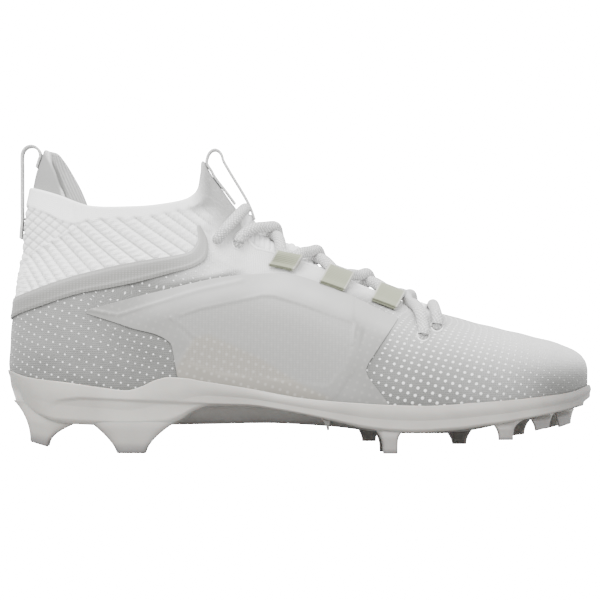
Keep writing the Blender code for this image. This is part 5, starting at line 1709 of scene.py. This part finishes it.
@dataclass
class Plate:
    """The moulded plate: a tray with a lipped rim, a step in its side, a hollow arch and its studs."""

    columns: int = 260
    clearance: float = 0.0003
    crease: tuple[Point, ...] = (
        (-124, 23.0), (-118, 26.3), (-108, 27.4), (-60, 25.2), (-42, 24.4), (-20, 23.6), (6, 18.6),
    )
    lip: float = 0.0011
    step: float = 0.0010
    step_start: Point = (-0.126, -0.112)
    step_end: Point = (-0.006, 0.010)
    heel_taper: Point = (-0.147, -0.112)
    heel_draw: float = 0.0060
    swell: float = 0.0005
    swell_end: float = 0.54
    round_in: float = 0.0022
    round_start: float = 0.86
    foot_in: float = 0.0033
    foot_turn: float = 0.0026
    under_in: float = 0.0050
    under_draw: float = 0.0150
    arch: tuple[Point, ...] = ((-62, 0), (30, 0), (30, 40), (-62, 40))
    arch_level: float = 0.02
    arch_soft: float = 0.004
    arch_shade: Point = (0.15, 0.75)
    under_rows: int = 18
    stud_sides: int = 72
    stud_rows: int = 24
    stud_square: float = 0.42
    stud_tone: float = 0.10
    stud_root: float = 0.0008
    stud_flare: float = 0.30
    stud_lean: float = 0.09
    stud_stand: float = 0.0012
    stud_sink: float = 0.0030
    studs: tuple[Stud, ...] = (
        Stud(Side.OUTER, -0.4420, 0.0320, 0.0150, -0.29, 0.034, 0.033, 0.150, 0.008, 2.2, 2.1),
        Stud(Side.OUTER, -0.2841, 0.0503, 0.0000, 0.00, 0.034, 0.100, 0.120, 0.000, 1.5, 1.68),
        Stud(Side.OUTER, 0.1522, 0.0250, 0.0000, 0.00, 0.036, 0.040, 0.072, 0.000, 3.0, 5.0),
        Stud(Side.OUTER, 0.3473, 0.0253, 0.0226, 0.00, 0.032, 0.024, 0.030, 0.000, 2.5, 4.0),
        Stud(Side.OUTER, 0.4113, 0.0253, 0.0406, 0.23, 0.028, 0.016, 0.010, 0.012),
        Stud(Side.OUTER, 0.4534, 0.0233, 0.0467, 0.31, 0.026, 0.012, 0.008, 0.030),
        Stud(Side.INNER, -0.4480, 0.0300, 0.0150, -0.29, 0.034, 0.028, 0.150, 0.012, 2.35, 2.1),
        Stud(Side.INNER, -0.2910, 0.0503, 0.0000, 0.00, 0.034, 0.100, 0.120, 0.000, 1.5, 1.68),
        Stud(Side.INNER, 0.1522, 0.0250, 0.0000, 0.00, 0.036, 0.040, 0.072, 0.010, 3.0, 5.0),
        Stud(Side.INNER, 0.2800, 0.0250, 0.0130, 0.00, 0.036, 0.036, 0.030, 0.000),
        Stud(Side.INNER, 0.3800, 0.0253, 0.0290, 0.12, 0.034, 0.020, 0.018, 0.004),
        Stud(Side.INNER, 0.4380, 0.0233, 0.0430, 0.28, 0.028, 0.014, 0.010, 0.012),
        Stud(Side.INNER, 0.1200, 0.0240, 0.0190, 0.00, 0.030, 0.024, 0.024, 0.085),
        Stud(Side.OUTER, 0.0480, 0.0040, 0.0390, 0.00, 0.016, 0.026, 0.012, 0.028),
    )

    def rings(self) -> Array:
        """Rings from the tray's floor up inside the rim, over its round lip, down the side and under the plate."""
        rim = upper_row(0.0, self.columns)
        low = upper_row(-1.0, self.columns)
        middle = upper_row(-0.5, self.columns)
        x = rim[:, 0]
        top, edge, under = RIM.at(x), EDGE.at(x), UNDERSIDE.at(x)
        low[:, 2] -= self.clearance
        taper = 1 - smoothstep(*self.heel_taper, x)
        lip = self.lip * (1 - 0.55 * taper)
        rings = [widened(low, self.clearance), widened(middle, self.clearance)]
        for a in np.radians(np.linspace(180, 0, 9)):
            row = widened(rim, self.clearance + lip / 2 * (1 + math.cos(a)))
            row[:, 2] = top + lip / 2 * math.sin(a)
            rings.append(row)
        crease = (top - height_of(x, self.crease)) / (top - edge)
        stepped = smoothstep(*self.step_start, x) * (1 - smoothstep(*self.step_end, x))
        for down in np.linspace(0.02, 1.0, 46):
            swell = self.swell * math.sin(math.pi * min(down / self.swell_end, 1.0)) * (1 - taper)
            step = -self.step * stepped * smoothstep(-0.03, 0.05, down - crease) - self.heel_draw * taper * down**1.3
            round_low = -self.round_in * max(0.0, (down - self.round_start) / (1 - self.round_start)) ** 2
            row = widened(rim, self.clearance + lip + swell + step + round_low)
            row[:, 2] = top + (edge - top) * down
            rings.append(row)
        for turn in np.radians(np.linspace(15, 90, 6)):
            drawn = self.foot_in + self.foot_turn * math.sin(turn) + self.heel_draw * taper
            row = widened(rim, self.clearance + self.lip - drawn)
            row[:, 2] = edge - 0.0004 * math.sin(turn) + 0.0002
            rings.append(row)
        for share in np.linspace(0.12, 1.0, 12):
            row = widened(rim, -self.under_in - self.heel_draw * taper * (1 - share) - self.under_draw * share)
            row[:, 2] = edge + (under - edge) * smoothstep(0.0, 1.0, np.full_like(x, share))
            rings.append(row)
        return np.array(rings)

    def body(self) -> bpy.types.Object:
        """The plate without studs, its floor and underside closed with rungs from side to side."""
        grid = self.rings()
        rows, count = grid.shape[:2]
        points = grid.reshape(-1, 3)
        under = self.under_rows
        # painted shade: the underside in the arch's hollow darkens more the further in it lies
        level = np.full((under, count), self.arch_level)
        arch = inside(grid[-under:, :, 0], level, self.arch, self.arch_soft)
        depth = np.zeros((rows, count))
        depth[-under:] = np.linspace(*self.arch_shade, under)[:, None] * arch
        tone = 0.10 * smoothstep(-0.080, -0.040, grid[..., 0]) + 0.55 * smoothstep(0.112, 0.140, grid[..., 0])
        tip = np.maximum(depth, tone).ravel()
        return mesh_object("plate_body", points, rung_faces(rows, count, False), points[:, :2].copy(), {"tip": tip})

    def stud(self, number: int, kind: Stud) -> bpy.types.Object:
        """One stud: superellipse sections from its flat tip, round at the corner, up into the plate.

        A section at rise r is longer behind and ahead by r to a power each, and follows the rim's own curve.

        Args:
            number: Its number.
            kind: Its sizes.

        Returns:
            The stud.
        """
        place = np.array([kind.along * LENGTH])
        centre = float(LAST.centre(place)[0])
        edge = float(LAST.half_width(place, RIM.at(place))[0])
        root = float(FLOOR.at(place)[0]) + self.stud_root
        low = kind.high * LENGTH
        angle = np.arange(self.stud_sides) * 2 * math.pi / self.stud_sides
        box_x, box_y = (np.sign(part) * np.abs(part) ** self.stud_square for part in (np.cos(angle), np.sin(angle)))
        rises = np.concatenate([[0.0, 0.0, 0.006, 0.02, 0.045], np.linspace(0.08, 1.0, self.stud_rows)])
        draws = np.concatenate([[0.0, 0.90, 0.95, 0.985, 1.0], np.ones(self.stud_rows)])
        rows, tips = [], []
        for rise, draw in zip(rises, draws):
            back = kind.tip / 2 + kind.behind * rise**kind.power_behind
            front = kind.tip / 2 + kind.ahead * rise**kind.power_ahead
            dx = LENGTH * draw * np.where(box_x > 0, front, back) * box_x
            across = kind.width * LENGTH * (1 + self.stud_flare * rise)
            tip_in = (1 - rise) * self.stud_lean * kind.width * LENGTH
            here = place + dx
            shift = LAST.centre(here) - centre
            follow = LAST.half_width(here, RIM.at(here)) - edge
            stand = self.stud_stand - self.stud_sink * float(smoothstep(0.45, 0.95, rise))
            y = centre + kind.side.value * (edge - kind.inset * LENGTH + stand - tip_in - across / 2)
            y = y + across / 2 * draw * box_y + shift + kind.side.value * follow * (kind.inset < 0.05)
            z = low + (root - low) * rise + kind.slope * (1 - rise) * dx
            rows.append(np.stack([here, y, z], 1))
            # painted shade: the tips darken, where little light reaches under the shoe
            shade_and_tone = 0.85 * float(1 - smoothstep(0.02, 0.34, rise))
            tone = 0.12 + 0.38 * smoothstep(-0.02, 0.03, here) + 0.20 * smoothstep(0.100, 0.125, here)
            tone = tone + 0.18 * smoothstep(-0.115, -0.100, here) * (here < 0)
            merged = smoothstep(0.55, 0.95, rise)
            tone = tone * (1 - merged) + self.stud_tone * merged
            # painted light: the inner studs lie in the plate's shadow, so they get only a fifth of the outer studs'
            # darkening
            tips.append(np.maximum(shade_and_tone, tone) * (1.0 if kind.side is Side.OUTER else 0.2))
        grid = np.array(rows)[::-1, ::-1]
        values = {"tip": np.array(tips)[::-1]}
        return grid_object(f"stud_{number}", grid, True, None, grid[..., :2], values, True)

    def build(self, plastic: bpy.types.Material) -> None:
        """Joins the plate and its studs into one piece."""
        pieces = [self.body()] + [self.stud(number, kind) for number, kind in enumerate(self.studs, 1)]
        dress(joined("moulded_plate", pieces), plastic, "plate", "outsole")


@dataclass
class SockLiner:
    """The cloth-covered insole on the plate's floor."""

    thickness: float = 0.0032

    def build(self, cloth: bpy.types.Material) -> None:
        """Rings from its underside round a soft edge, with rungs across both faces."""
        low = widened(upper_row(-1.0, 200), -0.0026)
        rings = [low]
        for a in np.radians([0, 30, 60, 90]):
            row = widened(low, -0.0012 * (1 - math.cos(a)))
            row[:, 2] = low[:, 2] + self.thickness - 0.0012 * (1 - math.sin(a))
            rings.append(row)
        grid = np.array(rings)
        points = grid.reshape(-1, 3)
        faces = rung_faces(*grid.shape[:2], True)
        dress(mesh_object("sock_liner", points, faces, points[:, :2].copy()), cloth, "insole", "insole")


@dataclass
class Studio:
    """A floor that the camera sees as white, soft lamps and a level camera square to the shoe's outer side."""

    distance: float = 2.0
    eye: float = 0.025
    view_height: float = 0.0765
    frame_width: float = 0.3008
    backdrop: float = 22.0
    floor_reach: float = 4.0
    floor_dark: tuple = (0.34, 0.34, 0.34)
    floor_light: tuple = (0.36, 0.36, 0.36)
    key_place: tuple = (-0.4, -0.8, 1.6)
    fill_place: tuple = (0.8, -1.6, 0.8)
    sensor: float = 36.0
    sky: float = 2.0
    key: float = 70.0
    fill: float = 12.0

    def lamp(self, name: str, place: tuple[float, float, float], size: float, power: float) -> None:
        """A square area lamp that faces the shoe's middle."""
        light = bpy.data.lights.new(name, "AREA")
        light.size, light.energy = size, power
        lamp = bpy.data.objects.new(name, light)
        bpy.context.scene.collection.objects.link(lamp)
        lamp.location = place
        way = np.array([0.0, 0.0, 0.06]) - np.array(place)
        tilt, turn = math.atan2(math.hypot(way[0], way[1]), -way[2]), math.atan2(way[1], way[0])
        lamp.rotation_euler = (tilt, 0.0, turn - math.pi / 2)

    def build(self) -> None:
        """Lays the floor, hangs the lamps and sets the camera."""
        corners = np.array([(-1, -1, 0), (1, -1, 0), (1, 1, 0), (-1, 1, 0)]) * self.floor_reach
        floor = mesh_object("floor", corners, [[0, 1, 2, 3]])
        graph = Graph("pale floor", 0.9)
        graph.link(graph.mix(graph.noise(graph.place(), 3.0), self.floor_dark, self.floor_light), "Base Color")
        seen = graph.tree.nodes.new("ShaderNodeLightPath").outputs["Is Camera Ray"]
        graph.set("Emission Color", (1.0, 1.0, 1.0, 1.0))
        graph.link(graph.math("MULTIPLY", seen, self.backdrop), "Emission Strength")
        floor.data.materials.append(graph.material)
        world = bpy.data.worlds.new("studio")
        bpy.context.scene.world = world
        world.use_nodes = True
        tree = world.node_tree
        path = tree.nodes.new("ShaderNodeLightPath")
        strength = tree.nodes.new("ShaderNodeMapRange")
        strength.inputs["To Min"].default_value = self.sky
        strength.inputs["To Max"].default_value = self.backdrop
        tree.links.new(path.outputs["Is Camera Ray"], strength.inputs["Value"])
        tree.links.new(strength.outputs["Result"], tree.nodes["Background"].inputs["Strength"])
        tree.nodes["Background"].inputs["Color"].default_value = (1, 1, 1, 1)
        self.lamp("key", self.key_place, 1.2, self.key)
        self.lamp("front", self.fill_place, 1.0, self.fill)
        view = bpy.data.cameras.new("camera")
        view.sensor_width = self.sensor
        view.lens = self.sensor * self.distance / self.frame_width
        view.shift_y = (self.view_height - self.eye) / self.frame_width
        camera = bpy.data.objects.new("camera", view)
        bpy.context.scene.collection.objects.link(camera)
        camera.location = (0.0002, -self.distance, self.eye)
        camera.rotation_euler = (math.pi / 2, 0.0, 0.0)
        bpy.context.scene.camera = camera


def make_tape() -> bpy.types.Material:
    """The loops' woven tape: yellow-green, ribbed along, with pale selvedges."""
    g = Graph("loop tape", 0.72)
    g.set("Sheen Weight", 0.2)
    ribs, cross = g.waves(0.0009, "Y"), g.waves(0.0007, "X")
    base = g.mix(g.math("MULTIPLY", ribs, 0.45), (0.20, 0.212, 0.145), (0.31, 0.325, 0.235))
    g.link(g.mix(g.channel("edge"), base, (0.40, 0.40, 0.35)), "Base Color")
    g.bump(g.math("MULTIPLY_ADD", cross, 0.4, ribs), 0.00012, 0.7)
    return g.material


def main() -> None:
    """Builds the shoe's pieces in order, then the studio."""
    bootie, lacing = Bootie(), Lacing()
    twill = Woven("lining twill", (0.86, 0.86, 0.85), (0.23, 0.23, 0.225), 0.0011, 0.0011, 45.0, 0.8, 0.00010)
    cord = Woven("lace cord", (0.78, 0.78, 0.77), (0.20, 0.20, 0.197), 0.0013, 0.0014, 38.0, 0.75, 0.00032)
    tape = Woven("pull tape", (0.66, 0.66, 0.65), (0.30, 0.30, 0.295), 0.0009, 0.0011, 40.0, 0.7)
    cloth = Woven("sock cloth", (0.62, 0.62, 0.61), (0.42, 0.42, 0.41), 0.0011, 0.0011, 20.0, 0.9)
    Plate().build(Moulded().make())
    SockLiner().build(cloth.make())
    bootie.build()
    knit = bpy.data.materials["knit"]
    RibTongue().build(knit, bootie, lacing.crossings(bootie))
    HeelLining().build(twill.make())
    film = Film().make()
    HeelBand().build(film)
    for side in Side:
        SideFilm().build(side, film)
    lacing.build(bootie, cord.make(), make_tape())
    PullTapes().build(tape.make())
    Studio().build()


if __name__ == "__main__":
    main()
